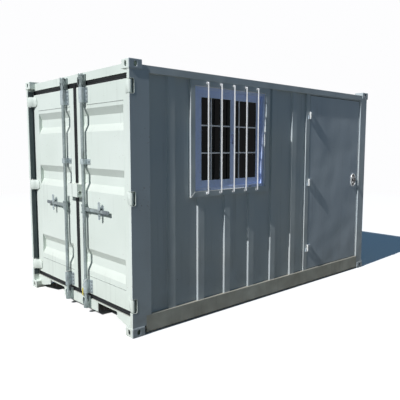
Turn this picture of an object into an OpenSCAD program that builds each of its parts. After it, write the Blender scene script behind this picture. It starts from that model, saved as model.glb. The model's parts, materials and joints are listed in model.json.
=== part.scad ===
// Container cabin: a short steel shipping container with double cargo doors on
// one end and, in one long side, a barred window and a walk-in steel door.
// Millimetres, +Z up. The origin is on the ground under the middle of the box.
// The cargo doors face -X; the window and the walk-in door face -Y.
// Inside the modules, d counts from the door end and s from the window side.

/* [Overall size] */
// Length over the corner castings
body_l = 3492; // [2900:1:6060]
// Width over the corner castings
body_w = 1988; // [1650:1:2440]
// Height over the corner castings
body_h = 2200; // [1830:10:2900]

/* [Corner castings] */
// Casting length along the box
cast_l = 122; // [90:1:178]
// Casting width across the box
cast_w = 108; // [80:1:162]
// Casting height
cast_h = 75; // [60:1:118]
// Casting wall
cast_t = 10; // [6:1:16]
// Length of the hand holes
hole_l = 46; // [30:1:80]
// Width of the hand holes
hole_w = 28; // [18:1:50]
// How far the castings stand proud of posts and rails
proud = 5; // [2:1:10]
// The same at the back end, where the posts sit further in
proud_back = 18; // [5:1:30]

/* [Posts and rails] */
// Depth of a door post along the side
post_l = 188; // [150:1:240]
// Width of a door post's front flange
post_f = 41; // [36:1:60]
// Width of a post behind the doors
post_w = 95; // [80:1:120]
// Length of a back post along the side
post_back_l = 131; // [100:1:200]
// Plate of posts, header and sill
post_t = 5; // [3:1:8]
// Height of the bottom rails above the ground
rail_z = 21; // [10:1:60]
// Top of the bottom rails, which is the floor's top
floor_z = 160; // [140:1:220]
// Flange width of the rails
rail_f = 50; // [40:1:80]
// Plate of the rails
rail_t = 4; // [3:1:8]
// Height of the top rails
top_rail_h = 55; // [40:1:80]
// Height of the header over the cargo doors
header_h = 74; // [60:1:110]
// How far header and roof stay below the castings' tops
roof_drop = 16; // [10:1:30]

/* [Sheet walls and roof] */
// Thickness of the wall and roof sheet
sheet_t = 3; // [2:1:5]
// Pitch of the wall folds
fold_pitch = 327.5; // [200:1:400]
// Width of a fold's outer flat
fold_flat = 72; // [40:1:110]
// Length along the wall of a fold's slope
fold_slope = 11; // [5:1:60]
// Depth of the folds
fold_depth = 20; // [15:1:45]
// How far the outer flats stay behind the rails
fold_set = 13; // [5:1:25]
// Place of the first fold's slope, from the door end
fold_start = 369; // [200:1:400]
// Pitch of the roof's cross folds
roof_pitch = 209; // [120:1:300]
// Depth of the roof's folds
roof_depth = 16; // [8:1:20]
// Plain margin along each side of the roof, outside the ribs
roof_margin = 140; // [80:5:220]
// Thickness of the plywood floor
floor_t = 28; // [18:1:35]

/* [Underframe] */
// Width of a fork pocket
pocket_w = 325; // [250:5:360]
// Distance between the fork pockets' middles
pocket_pitch = 1000; // [850:5:1250]
// Plate over the fork pockets
pocket_t = 8; // [5:1:12]
// Distance between the cross members
cross_pitch = 400; // [250:10:600]
// Flange of a cross member
cross_f = 40; // [30:1:60]

/* [Cargo doors] */
// Distance of the doors' faces behind the castings' faces
door_set = 60; // [50:1:80]
// Thickness of a door leaf
leaf_t = 50; // [40:1:60]
// Gap between a leaf and the seal's far edge on the posts
leaf_side = 65; // [60:1:80]
// Gap between the two leaves
seam = 25; // [20:1:40]
// Free gap from header and sill to the leaves, which the seals fill
leaf_gap = 45; // [35:1:60]
// Free running gap of seals and leaves
run_gap = 5; // [5:1:10]
// Width of the hinge stile
stile_h = 115; // [80:1:160]
// Width of the stile at the seam
stile_s = 92; // [70:1:140]
// Height of the leaf's top and bottom rails
leaf_rail = 165; // [100:1:220]
// Height of a pressed recess in the leaf's panel
press_h = 205; // [120:1:260]
// Height of the recess's flat
press_flat = 80; // [40:1:140]
// Depth of a recess
press_d = 33; // [15:1:44]
// How far the middle recess lies above the middle of the other two
press_up = 105; // [0:5:160]
// Plate of the leaf's panel
leaf_plate = 3; // [2:1:5]

/* [Cargo door hinges] */
// Pin centre behind the castings' end face
pin_d = 20; // [18:1:30]
// Pin centre from the castings' side face
pin_s = 21; // [19:1:30]
// Pin radius
pin_r = 8; // [6:0.5:12]
// Knuckle radius
knuckle_r = 15; // [12:0.5:20]
// Height of a hinge blade
blade_h = 102; // [60:1:140]
// Plate of a hinge blade
blade_t = 10; // [6:1:14]
// Radial clearance of turning rods and pins
fit = 0.05; // [0.02:0.01:0.1]

/* [Locking gear] */
// Distance of a lock rod from the seam's middle
rod_s = 181; // [140:1:260]
// Lock rod centre behind the castings' end face
rod_d = 28; // [24:1:40]
// Lock rod radius
rod_r = 16; // [12:0.5:20]
// Wall of the lock rod
rod_t = 3; // [2:0.5:4]
// Length of a handle from its rod's centre
handle_l = 421; // [300:1:480]
// Height of the handle's bar
handle_h = 30; // [20:1:40]
// Width of the lock box over the seam
lock_w = 200; // [160:2:260]
// Height of the lock box
lock_h = 119; // [80:1:160]
// Gap between the lock box's halves
lock_gap = 6; // [6:1:12]

/* [Window] */
// Width over the window surround
win_w = 1023; // [700:1:1300]
// Height over the window surround
win_h = 1013; // [600:1:1300]
// Shift of the window's middle from the middle of the free wall
win_shift = -93; // [-150:1:150]
// Face width of the surround
win_face = 50; // [30:1:80]
// Distance of the surround's face behind the rails' faces
win_set = 5; // [0:1:15]
// Section of the window frame
frame_f = 30; // [20:1:50]
// Face width of the sash frames
sash_f = 63; // [40:1:80]
// Thickness of a sash
sash_t = 22; // [16:1:30]
// Width of the glazing bars
glaze_w = 11; // [10:1:30]
// Thickness of the glass
glass_t = 4; // [3:1:8]
// Number of security bars
bar_n = 5; // [3:1:9]
// Distance between the security bars
bar_pitch = 162; // [100:1:200]
// Radius of a security bar
bar_r = 7; // [5:0.5:10]
// Bar centre in front of the surround's face
bar_off = 17; // [10:1:40]

/* [Walk-in door] */
// Width of the door leaf
pd_w = 996; // [700:1:1010]
// Thickness of the door leaf
pd_t = 40; // [30:1:50]
// Distance of the leaf's face behind the frame's face
pd_set = 2; // [0:1:20]
// Face width of the hinge jamb
jamb_h = 62; // [40:1:100]
// Face width of the lock jamb
jamb_l = 14; // [10:1:80]
// Depth of the door frame
jamb_d = 60; // [55:1:90]
// Gap at the hinge side, the top and the bottom
pd_gap = 6; // [5:1:10]
// Gap at the lock side
pd_gap_lock = 7; // [7:1:12]
// Radius of a barrel hinge
barrel_r = 9; // [7:0.5:12]
// Height of a barrel hinge
barrel_h = 76; // [60:1:120]
// Radius of a barrel hinge's pin
barrel_pin = 5; // [4:0.5:6]
// Height of the knob
knob_z = 1133; // [900:1:1200]
// Radius of the knob
knob_r = 26; // [20:1:35]

/* [Hidden] */
$fn = 64;

mid_s = body_w / 2;
top_z = body_h - cast_h;              // top of the posts
roof_z = body_h - roof_drop;          // highest point of header and roof
rail_top_z = roof_z - roof_depth - 2 * sheet_t - 2;   // top of the top rails
head_z = rail_top_z - top_rail_h;     // underside of the top rails
header_z = roof_z - header_h;         // underside of the header
sill_z = floor_z - floor_t;           // top of the sill and underside of the floor
back_d = body_l - proud_back;         // back face of the back posts
back_post_d = back_d - post_back_l;   // front face of the back posts
roof_d = body_l - cast_l;             // back edge of the roof sheet
wall_s = proud + fold_set;            // outer flats of the walls
rebate_d = door_set + leaf_t + 8;     // stop that the closed leaves face

leaf_z0 = sill_z + leaf_gap + 4;
leaf_z1 = header_z - leaf_gap;
leaf_s1 = mid_s - seam / 2;
press_z = [leaf_z0 + 319, 0, leaf_z1 - 301];
press_mid = (press_z[0] + press_z[2]) / 2 + press_up;
presses = [press_z[0], press_mid, press_z[2]];
hinge_z = [leaf_z0 + 79, (leaf_z0 + leaf_z1) / 2 + 3, leaf_z1 - 71];
handle_z = press_mid - 266;
lock_z = press_mid - 109;
rod_line = mid_s - rod_s;             // s of the near lock rod

pd_d1 = back_post_d;                  // the lock jamb meets the back post
pd_leaf1 = pd_d1 - jamb_l - pd_gap_lock;
pd_leaf0 = pd_leaf1 - pd_w;
pd_d0 = pd_leaf0 - pd_gap - jamb_h;
pd_z0 = floor_z + 4 + pd_gap;
pd_z1 = head_z - 10 - pd_gap;
pd_s = wall_s + pd_set;               // outer face of the walk-in leaf
axis_d = pd_leaf0 - 12;               // barrel hinge axis
axis_s = wall_s - barrel_r - 4;
barrels = [pd_z0 + 240, (pd_z0 + pd_z1) / 2 + 17, pd_z1 - 216];
knob_d = pd_leaf1 - 95;

win_mid = (post_l + pd_d0) / 2 + win_shift;
win_d0 = win_mid - win_w / 2;
win_d1 = win_mid + win_w / 2;
win_z1 = head_z;
win_z0 = head_z - win_h;
win_f = proud + win_set;              // face of the surround
hole_d0 = win_d0 + win_face;
hole_d1 = win_d1 - win_face;
hole_z0 = win_z0 + win_face;
hole_z1 = win_z1 - win_face;

POST = [0.55, 0.59, 0.62];
WHITE = [0.88, 0.9, 0.87];
STEEL = [0.45, 0.48, 0.48];
BLACK = [0.08, 0.09, 0.1];

// A box from its low to its high corner, in d, s and z.
module slab(lo, hi) { translate(lo) cube(hi - lo); }

// Moves work done in d and s onto the shared frame.
module placed() { translate([-body_l / 2, -body_w / 2, 0]) children(); }

// The same at the other long side.
module far_side() { mirror([0, 1, 0]) children(); }

module both_sides() { children(); far_side() children(); }

// An outline drawn in d and z, carried across the box from s0 to s1.
module across(s0, s1) {
    translate([0, s1, 0]) rotate([90, 0, 0]) linear_extrude(s1 - s0) children();
}

// A rounded slot through a wall, lying in the XY plane and long along X.
module slot(l, w, t) {
    translate([-(l - w) / 2, -w / 2, 0]) cube([l - w, w, t]);
    for (k = [-1, 1]) translate([k * (l - w) / 2, 0, 0]) cylinder(r = w / 2, h = t);
}

// ---------------------------------------------------------------- castings

// One hollow casting at the near door corner, its solid corner at z = 0.
module casting() {
    difference() {
        cube([cast_l, cast_w, cast_h]);
        slab([cast_t, cast_t, cast_t], [cast_l - cast_t, cast_w - cast_t, cast_h - cast_t]);
        translate([cast_l / 2, cast_w / 2, -1]) slot(hole_l, hole_w, cast_t + 2);
        translate([cast_l / 2, cast_t + 1, cast_h / 2]) rotate([90, 0, 0])
            rotate([0, 0, 90]) slot(hole_l - 4, hole_w, cast_t + 2);
        translate([-1, cast_w / 2, cast_h / 2]) rotate([90, 0, 90])
            rotate([0, 0, 90]) slot(hole_l - 4, hole_w, cast_t + 2);
    }
}

module castings_at(z, up) {
    for (a = [0, 1], b = [0, 1]) mirror([a, 0, 0]) mirror([0, b, 0]) placed()
        translate([0, 0, z]) if (up) translate([0, 0, cast_h]) mirror([0, 0, 1]) casting();
        else casting();
}

module corner_castings() {
    color(POST) castings_at(top_z, true);
    color(POST) castings_at(0, false);
}

// ---------------------------------------------------------------- posts

// Folded post section: front flange, side face and the rebate behind the door.
module post_section(g) {
    polygon([[proud + g, proud + g], [post_l - g, proud + g], [post_l - g, post_w - g],
             [rebate_d + g, post_w - g], [rebate_d + g, post_f - g], [proud + g, post_f - g]]);
}

module door_post() {
    placed() difference() {
        translate([0, 0, cast_h]) linear_extrude(top_z - cast_h) difference() {
            post_section(0);
            post_section(post_t);
        }
        slab([cast_l + 16, -1, cast_h - 1], [post_l + 1, post_w + 1, floor_z]);
        for (z = hinge_z)
            slab([-1, -1, z - blade_h / 2 - run_gap],
                 [pin_d + knuckle_r + 13, post_f + 1, z + blade_h / 2 + run_gap]);
    }
}

module door_post_near() { color(POST) door_post(); }
module door_post_far() { color(POST) far_side() door_post(); }

module back_posts() {
    color(POST) both_sides() placed() difference() {
        slab([back_post_d, proud, cast_h], [back_d, post_w, top_z]);
        slab([back_post_d + post_t, proud + post_t, cast_h - 1],
             [back_d - post_t, post_w - post_t, top_z + 1]);
        slab([back_post_d - 1, -1, cast_h - 1], [body_l - cast_l - 16, post_w + 1, floor_z]);
    }
}

// ---------------------------------------------------------------- rails

module top_side_rails() {
    color(POST) both_sides() placed() difference() {
        union() {
            slab([post_l, proud, head_z], [back_post_d, proud + rail_f, rail_top_z]);
            slab([cast_l, proud, top_z], [body_l - cast_l, proud + rail_f, rail_top_z]);
        }
        slab([post_l + rail_t, proud + rail_t, head_z + rail_t],
             [back_post_d - rail_t, proud + rail_f + 1, rail_top_z - rail_t]);
    }
}

module bottom_side_rails() {
    color(POST) both_sides() placed() difference() {
        slab([cast_l + 16, proud, rail_z], [body_l - cast_l - 16, proud + rail_f, floor_z]);
        slab([cast_l + 15, proud + rail_t, rail_z + rail_t],
             [body_l - cast_l - 15, proud + rail_f + 1, floor_z - rail_t]);
    }
}

// Box header with the stop lip that the closed leaves seal against.
module door_header() {
    t = post_t;
    color(WHITE) placed() difference() {
        union() {
            slab([door_set, cast_w, header_z], [rebate_d + t, body_w - cast_w, roof_z]);
            slab([door_set, post_f, header_z], [rebate_d, body_w - post_f, top_z]);
            slab([rebate_d, post_w, header_z - 55], [rebate_d + t, body_w - post_w, header_z + t]);
        }
        slab([door_set + t, cast_w + t, header_z + t],
             [rebate_d, body_w - cast_w - t, roof_z - t]);
        slab([door_set + 20, mid_s - 10, header_z - 1], [rebate_d - 20, mid_s + 10, header_z + t + 1]);
    }
}

// Outline across the box of an end plate with its two fork cut-outs.
module sill_outline(inner) {
    h = pocket_pitch / 2;
    difference() {
        polygon([[inner, cast_h], [cast_w, cast_h], [cast_w, rail_z + 14],
                 [cast_w + 45, rail_z + 14], [mid_s - h - pocket_w / 2, cast_h + 3],
                 [mid_s - h - pocket_w / 2, rail_z + 19],
                 [mid_s + h + pocket_w / 2, rail_z + 19],
                 [mid_s + h + pocket_w / 2, cast_h + 3],
                 [body_w - cast_w - 45, rail_z + 14], [body_w - cast_w, rail_z + 14],
                 [body_w - cast_w, cast_h], [body_w - inner, cast_h],
                 [body_w - inner, sill_z], [inner, sill_z]]);
        for (k = [-1, 1]) translate([mid_s + k * h - pocket_w / 2, -1])
            square([pocket_w, sill_z - pocket_t + 1]);
    }
}

// Puts an outline drawn in s and z at a distance from the door end.
module end_plate(d, t) {
    translate([d, 0, 0]) rotate([90, 0, 90]) linear_extrude(t) children();
}

module door_sill() {
    color(WHITE) placed() {
        end_plate(door_set, post_t + 1) sill_outline(post_f);
        slab([door_set + post_t + 1, post_f, sill_z - pocket_t],
             [rebate_d, body_w - post_f, sill_z]);
        slab([rebate_d, post_w, sill_z - pocket_t],
             [rebate_d + post_t, body_w - post_w, floor_z + 15]);
    }
}

module back_end_rails() {
    color(POST) placed() {
        end_plate(back_d - post_t - 1, post_t + 1) sill_outline(post_w);
        slab([back_d - rail_f, post_w, sill_z], [back_d, body_w - post_w, floor_z]);
        difference() {
            slab([roof_d, cast_w, header_z], [back_d, body_w - cast_w, roof_z]);
            slab([roof_d + rail_t, cast_w + rail_t, header_z + rail_t],
                 [back_d - rail_t, body_w - cast_w - rail_t, roof_z - rail_t]);
            slab([roof_d + 20, mid_s - 10, header_z - 1], [back_d - 20, mid_s + 10, header_z + rail_t + 1]);
        }
    }
}

// Inverted channels that carry a forklift's tines right through the base.
module fork_channels() {
    d0 = rebate_d + post_t;
    d1 = back_d - post_t - 1;
    color(BLACK) placed() for (k = [-1, 1]) {
        m = mid_s + k * pocket_pitch / 2;
        difference() {
            slab([d0, m - pocket_w / 2 - 6, rail_z + 14], [d1, m + pocket_w / 2 + 6, sill_z]);
            slab([d0 - 1, m - pocket_w / 2, 0], [d1 + 1, m + pocket_w / 2, sill_z - pocket_t]);
        }
    }
}

module cross_members() {
    h = pocket_pitch / 2 + pocket_w / 2 + 6;
    i = pocket_pitch / 2 - pocket_w / 2 - 6;
    n = floor((back_d - rebate_d - 200) / cross_pitch);
    first = (rebate_d + back_d - n * cross_pitch) / 2;
    spans = [[proud + rail_f, mid_s - h], [mid_s - i, mid_s + i], [mid_s + h, body_w - proud - rail_f]];
    color(POST) placed() for (k = [0 : n], r = spans)
        translate([first + k * cross_pitch, 0, 0]) difference() {
            slab([0, r[0], rail_z + 25], [cross_f, r[1], sill_z]);
            slab([rail_t, r[0] - 1, rail_z + 25 + rail_t], [cross_f + 1, r[1] + 1, sill_z - rail_t]);
        }
}

module plywood_floor() {
    color([0.5, 0.36, 0.22]) placed() difference() {
        slab([rebate_d + post_t, proud + rail_f, sill_z], [back_d - rail_f, body_w - proud - rail_f, floor_z]);
        for (s = [0, body_w - post_w]) {
            slab([0, s, 0], [post_l, s + post_w, body_h]);
            slab([back_post_d, s, 0], [body_l, s + post_w, body_h]);
        }
    }
}

// ---------------------------------------------------------------- sheets

// One fold's line as [run, depth] points, the outer flat at depth 0.
function fold(x0) = [[x0, fold_depth], [x0 + fold_slope, 0],
                     [x0 + fold_slope + fold_flat, 0], [x0 + 2 * fold_slope + fold_flat, fold_depth]];

// The folded line over a run with n folds.
function folds(first, n) = [for (k = [0 : n - 1]) each fold(first + k * fold_pitch)];

// A folded sheet section from run a to run b.
module folded_section(a, b, first) {
    n = floor((b - first - 2 * fold_slope - fold_flat) / fold_pitch) + 1;
    line = concat([[a, fold_depth]], folds(first, n), [[b, fold_depth]]);
    back = [for (k = [len(line) - 1 : -1 : 0]) line[k] + [0, sheet_t]];
    polygon(concat(line, back));
}

// Wall between two distances and two heights on the near side.
module near_wall(d0, d1, z0, z1) {
    intersection() {
        translate([0, wall_s, z0]) linear_extrude(z1 - z0)
            folded_section(post_l, back_post_d, fold_start);
        slab([d0, 0, z0], [d1, 200, z1]);
    }
}

module wall_left_of_window() { color(POST) placed() near_wall(post_l, win_d0, floor_z, head_z); }
module wall_below_window() { color(POST) placed() near_wall(win_d0, win_d1, floor_z, win_z0); }
module wall_right_of_window() { color(POST) placed() near_wall(win_d1, pd_d0, floor_z, head_z); }
module wall_far_side() {
    color(POST) far_side() placed() near_wall(post_l, back_post_d, floor_z, head_z);
}

module wall_back_end() {
    color(POST) placed() translate([back_d - fold_set, 0, floor_z]) rotate([0, 0, 90])
        linear_extrude(header_z - floor_z)
        folded_section(post_w, body_w - post_w, post_w + 150);
}

// Roof sheet with ribs pressed up across it, closed short of its flat edges.
module roof_sheet() {
    n = floor((body_l - 2 * cast_l - 160) / roof_pitch);
    r0 = (body_l - n * roof_pitch) / 2;
    z = rail_top_z;
    line = concat([[rebate_d + post_t, z]],
                  [for (k = [0 : n - 1]) each [[r0 + k * roof_pitch + 20, z],
                      [r0 + k * roof_pitch + 45, z + roof_depth],
                      [r0 + (k + 1) * roof_pitch - 45, z + roof_depth],
                      [r0 + (k + 1) * roof_pitch - 20, z]]],
                  [[roof_d, z]]);
    back = [for (k = [len(line) - 1 : -1 : 0]) line[k] + [0, sheet_t]];
    margin = roof_margin - proud - 3;
    color(POST) placed() {
        across(roof_margin, body_w - roof_margin) polygon(concat(line, back));
        for (s = [proud + 3, body_w - roof_margin - sheet_t])
            slab([line[0][0], s, z], [roof_d, s + margin + sheet_t, z + sheet_t]);
        for (s = [roof_margin, body_w - roof_margin - sheet_t])
            across(s, s + sheet_t) polygon(concat([line[0], [roof_d, z]], back));
    }
}

// ---------------------------------------------------------------- window

// A rectangular ring in the near wall: lo and hi are [d, z] corners.
module ring(lo, hi, f, s0, s1) {
    difference() {
        slab([lo[0], s0, lo[1]], [hi[0], s1, hi[1]]);
        slab([lo[0] + f, s0 - 1, lo[1] + f], [hi[0] - f, s1 + 1, hi[1] - f]);
    }
}

module window_surround() {
    t = 3;
    color(POST) placed() difference() {
        ring([win_d0, win_z0], [win_d1, win_z1], win_face, win_f, wall_s + fold_depth + sheet_t);
        difference() {
            slab([win_d0 + t, win_f + t, win_z0 + t],
                 [win_d1 - t, 200, win_z1 - t]);
            slab([win_d0 + win_face - t, 0, win_z0 + win_face - t],
                 [win_d1 - win_face + t, 201, win_z1 - win_face + t]);
        }
    }
}

win_s = win_f + 22;                     // front face of the window frame
front_s = win_s + 5;                    // front sash
rear_s = front_s + sash_t + 4;          // rear sash

module window_frame() {
    color([0.45, 0.53, 0.66]) placed()
        ring([hole_d0, hole_z0], [hole_d1, hole_z1], frame_f, win_s, rear_s + sash_t + 5);
}

sash_d = [[hole_d0 + frame_f, win_mid + sash_f / 2 + 20],
          [win_mid - sash_f / 2 - 16, hole_d1 - frame_f]];

// Sash with a grid of glazing bars, three panes each way.
module sash(d0, d1, s) {
    z0 = hole_z0 + frame_f;
    z1 = hole_z1 - frame_f;
    w = (d1 - d0 - 2 * sash_f) / 3;
    h = (z1 - z0 - 2 * sash_f) / 3;
    ring([d0, z0], [d1, z1], sash_f, s, s + sash_t);
    for (k = [1, 2]) {
        slab([d0 + sash_f + k * w - glaze_w / 2, s + 2, z0 + sash_f],
             [d0 + sash_f + k * w + glaze_w / 2, s + sash_t / 2 - glass_t / 2, z1 - sash_f]);
        slab([d0 + sash_f, s + 2, z0 + sash_f + k * h - glaze_w / 2],
             [d1 - sash_f, s + sash_t / 2 - glass_t / 2, z0 + sash_f + k * h + glaze_w / 2]);
    }
}

module window_sashes() {
    color([0.45, 0.53, 0.66]) placed() {
        sash(sash_d[0][0], sash_d[0][1], front_s);
        sash(sash_d[1][0], sash_d[1][1], rear_s);
    }
}

module window_glass() {
    color([0.1, 0.15, 0.16, 0.5]) placed() for (k = [0, 1]) {
        s = (k == 0 ? front_s : rear_s) + sash_t / 2 - glass_t / 2;
        slab([sash_d[k][0] + sash_f, s, hole_z0 + frame_f + sash_f],
             [sash_d[k][1] - sash_f, s + glass_t, hole_z1 - frame_f - sash_f]);
    }
}

// Round bars whose ends turn back onto the surround.
module security_bars() {
    z0 = win_z0 + win_face * 0.6;
    z1 = win_z1 - win_face * 0.4;
    color([0.85, 0.86, 0.87]) placed() for (k = [0 : bar_n - 1])
        translate([win_mid + (k - (bar_n - 1) / 2) * bar_pitch, win_f - bar_off, 0]) {
            translate([0, 0, z0]) cylinder(r = bar_r, h = z1 - z0);
            for (z = [z0, z1]) translate([0, 0, z]) {
                sphere(r = bar_r);
                rotate([-90, 0, 0]) cylinder(r = bar_r, h = bar_off);
            }
        }
}

// ---------------------------------------------------------------- walk-in door

module walk_in_frame() {
    in0 = pd_leaf0 - pd_gap;
    in1 = pd_leaf1 + pd_gap_lock;
    stop_s = pd_s + pd_t + pd_gap;
    back_s = wall_s + jamb_d;
    color(POST) placed() difference() {
        slab([pd_d0, wall_s, floor_z], [pd_d1, back_s, head_z]);
        slab([in0, wall_s - 1, floor_z + 4], [in1, stop_s, head_z - 10]);
        slab([in0 + 16, 0, floor_z + 4], [in1 - 16, back_s + 1, head_z - 26]);
    }
}

// Steel leaf: two skins on an edge frame.
module walk_in_leaf() {
    color(POST) placed() difference() {
        slab([pd_leaf0, pd_s, pd_z0], [pd_leaf1, pd_s + pd_t, pd_z1]);
        slab([pd_leaf0 + 30, pd_s + 2, pd_z0 + 30], [pd_leaf1 - 30, pd_s + pd_t - 2, pd_z1 - 30]);
        translate([pd_leaf1 - 60, pd_s + pd_t / 2, pd_z0 - 1]) cylinder(r = 4, h = 40);
    }
}

// Lower halves of the lift-off hinges, each with its pin.
module walk_in_hinges_frame() {
    color(WHITE) placed() for (z = barrels) translate([axis_d, axis_s, z]) {
        translate([0, 0, -barrel_h / 2]) cylinder(r = barrel_r, h = barrel_h / 2);
        cylinder(r = barrel_pin, h = barrel_h / 2 - 6);
        slab([-24, 0, -barrel_h / 2], [0, wall_s - axis_s, -1]);
    }
}

// Upper halves, carried by the leaf.
module walk_in_hinges_leaf() {
    tab = pd_leaf0 + 40 - axis_d;
    color(WHITE) placed() for (z = barrels) translate([axis_d, axis_s, z]) difference() {
        union() {
            translate([0, 0, 1]) cylinder(r = barrel_r, h = barrel_h / 2);
            slab([0, -4, 1], [tab, 2, barrel_h / 2]);
            slab([tab - 12, 2, 1], [tab, pd_s - axis_s, barrel_h / 2]);
        }
        cylinder(r = barrel_pin + fit, h = barrel_h / 2 - 4);
    }
}

module walk_in_lock_plate() {
    color(WHITE) placed() translate([knob_d, pd_s, knob_z]) rotate([90, 0, 0]) difference() {
        rotate([0, 0, 90]) slot(154, 92, 6);
        translate([0, 0, -1]) cylinder(r = 8 + fit, h = 10);
    }
}

module walk_in_knob() {
    color(BLACK) placed() translate([knob_d, pd_s, knob_z]) rotate([90, 0, 0]) {
        translate([0, 0, 4]) cylinder(r = 8, h = 10);
        translate([0, 0, 6 + run_gap]) cylinder(r = knob_r, h = 22);
        translate([0, 0, 28 + run_gap]) cylinder(r = knob_r - 8, h = 4);
    }
}

// ---------------------------------------------------------------- cargo doors

// Fixed pins with the lugs that hold them inside the hollow posts.
module hinge_pins() {
    g = blade_h / 2 + run_gap;
    color(STEEL) both_sides() placed() for (z = hinge_z) {
        translate([pin_d, pin_s, z - g - 12]) cylinder(r = pin_r, h = 2 * g + 24);
        for (k = [z - g - 12, z + g])
            slab([proud + post_t, proud + post_t, k],
                 [pin_d + knuckle_r + 13, post_f - post_t, k + 12]);
    }
}

// Perimeter frame of a leaf: two stiles and two rails of folded plate.
module leaf_frame() {
    d0 = door_set;
    d1 = door_set + leaf_t;
    t = 4;
    placed() difference() {
        union() {
            slab([d0, leaf_side, leaf_z0], [d1, leaf_side + stile_h, leaf_z1]);
            slab([d0, leaf_s1 - stile_s, leaf_z0], [d1, leaf_s1, leaf_z1]);
            for (z = [leaf_z0, leaf_z1 - leaf_rail])
                slab([d0, leaf_side + stile_h, z], [d1, leaf_s1 - stile_s, z + leaf_rail]);
        }
        slab([d0 + t, leaf_side + t, leaf_z0 - 1], [d1 - t, leaf_side + stile_h - t, leaf_z1 + 1]);
        slab([d0 + t, leaf_s1 - stile_s + t, leaf_z0 - 1], [d1 - t, leaf_s1 - t, leaf_z1 + 1]);
        for (z = [leaf_z0, leaf_z1 - leaf_rail])
            slab([d0 + t, leaf_side + stile_h, z + t], [d1 + 1, leaf_s1 - stile_s, z + leaf_rail - t]);
    }
}

// Pressed panel: flat plate with three trapezoid recesses across it.
module leaf_panel() {
    h = press_h / 2;
    f = press_flat / 2;
    line = concat([[0, leaf_z0 + leaf_rail]],
                  [for (z = presses) each [[0, z - h], [press_d, z - f], [press_d, z + f], [0, z + h]]],
                  [[0, leaf_z1 - leaf_rail]]);
    back = [for (k = [len(line) - 1 : -1 : 0]) line[k] + [leaf_plate, 0]];
    placed() translate([door_set, 0, 0])
        across(leaf_side + stile_h, leaf_s1 - stile_s) polygon(concat(line, back));
}

// Rubber seal all round a leaf, filling its gap but for the running clearance.
module leaf_seal() {
    d0 = door_set + 6;
    placed() difference() {
        slab([d0, post_f + run_gap, sill_z + run_gap],
             [door_set + leaf_t - 6, mid_s - run_gap, header_z - run_gap]);
        slab([0, leaf_side, leaf_z0], [door_set + leaf_t, leaf_s1, leaf_z1]);
    }
}

// Hinge blades: knuckle on the pin, plate across the gap, foot on the leaf.
module hinge_blades() {
    placed() for (z = hinge_z) translate([0, 0, z - blade_h / 2]) difference() {
        union() {
            translate([pin_d, pin_s, 0]) cylinder(r = knuckle_r, h = blade_h);
            slab([pin_d - blade_t, pin_s, 0], [pin_d, leaf_side + 20, blade_h]);
            slab([pin_d, leaf_side + 20 - blade_t, 0], [door_set, leaf_side + 20, blade_h]);
            slab([door_set - 8, leaf_side + 20, 0], [door_set, leaf_side + 85, blade_h]);
        }
        translate([pin_d, pin_s, -1]) cylinder(r = pin_r + fit, h = blade_h + 2);
    }
}

// A bearing bracket of given half width and height round the rod.
module bracket(z0, z1, half) {
    difference() {
        union() {
            slab([door_set - 7, rod_line - half, z0], [door_set, rod_line + half, z1]);
            slab([rod_d, rod_line - rod_r - 8, z0], [door_set - 7, rod_line + rod_r + 8, z1]);
            translate([rod_d, rod_line, z0]) cylinder(r = rod_r + 8, h = z1 - z0);
        }
        translate([rod_d, rod_line, z0 - 1]) cylinder(r = rod_r + fit, h = z1 - z0 + 2);
    }
}

// Brackets that carry the rod, and the catch that holds the handle.
module rod_brackets() {
    placed() {
        bracket(leaf_z1 - 146, leaf_z1 - 12, 58);
        bracket(press_mid + 136, press_mid + 184, 80);
        bracket(leaf_z0 + 8, leaf_z0 + 134, 72);
        translate([0, rod_line - handle_l + 147, handle_z]) {
            slab([door_set - 7, -28, -50], [door_set, 28, 92]);
            slab([rod_d - 11, -28, -46], [door_set - 7, 28, -31]);
            slab([rod_d - 4, -28, 29], [door_set - 7, 28, 69]);
        }
    }
}

// Half of the lock box: hood with an open bottom and an open seam side.
module lock_box() {
    t = 4;
    z0 = lock_z - lock_h / 2;
    z1 = lock_z + lock_h / 2;
    s0 = mid_s - lock_w / 2;
    s1 = mid_s - lock_gap / 2;
    placed() difference() {
        slab([proud, s0, z0], [door_set, s1, z1]);
        slab([proud + t, s0 + t, z0 - 1], [door_set + 1, s1 + 1, z1 - t]);
        translate([proud + 27, s0 - 1, z0 + 42]) rotate([-90, 0, 0]) cylinder(r = 14, h = t + 2);
    }
}

// Lock rod: tube with a cam at each end and the hinged handle's hub and bar.
module lock_rod() {
    z0 = rail_z + 25;
    z1 = header_z + 60;
    placed() translate([rod_d, rod_line, 0]) difference() {
        union() {
            translate([0, 0, z0]) cylinder(r = rod_r, h = z1 - z0);
            for (z = [[z0 + 4, sill_z - 15], [header_z + 8, z1]]) {
                translate([0, 0, z[0]]) cylinder(r = rod_r + 5, h = z[1] - z[0]);
                slab([-rod_r - 7, -9, z[0]], [0, 9, z[1]]);
            }
            translate([0, 0, handle_z - 40]) cylinder(r = rod_r + 6, h = 80);
            slab([0, -handle_l, handle_z - handle_h / 2], [9, 0, handle_z + handle_h / 2]);
        }
        translate([0, 0, z0 - 1]) cylinder(r = rod_r - rod_t, h = z1 - z0 + 2);
    }
}

// Cheeks on header and sill that the cams turn between, open to the front.
module rod_keepers() {
    color(STEEL) both_sides() placed() for (s = [-34, 40])
        for (z = [[header_z + 4, header_z + 56], [rail_z + 28, sill_z - 12]])
            slab([rod_d - 15, rod_line + s, z[0]], [door_set, rod_line + s + 8, z[1]]);
}

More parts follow.
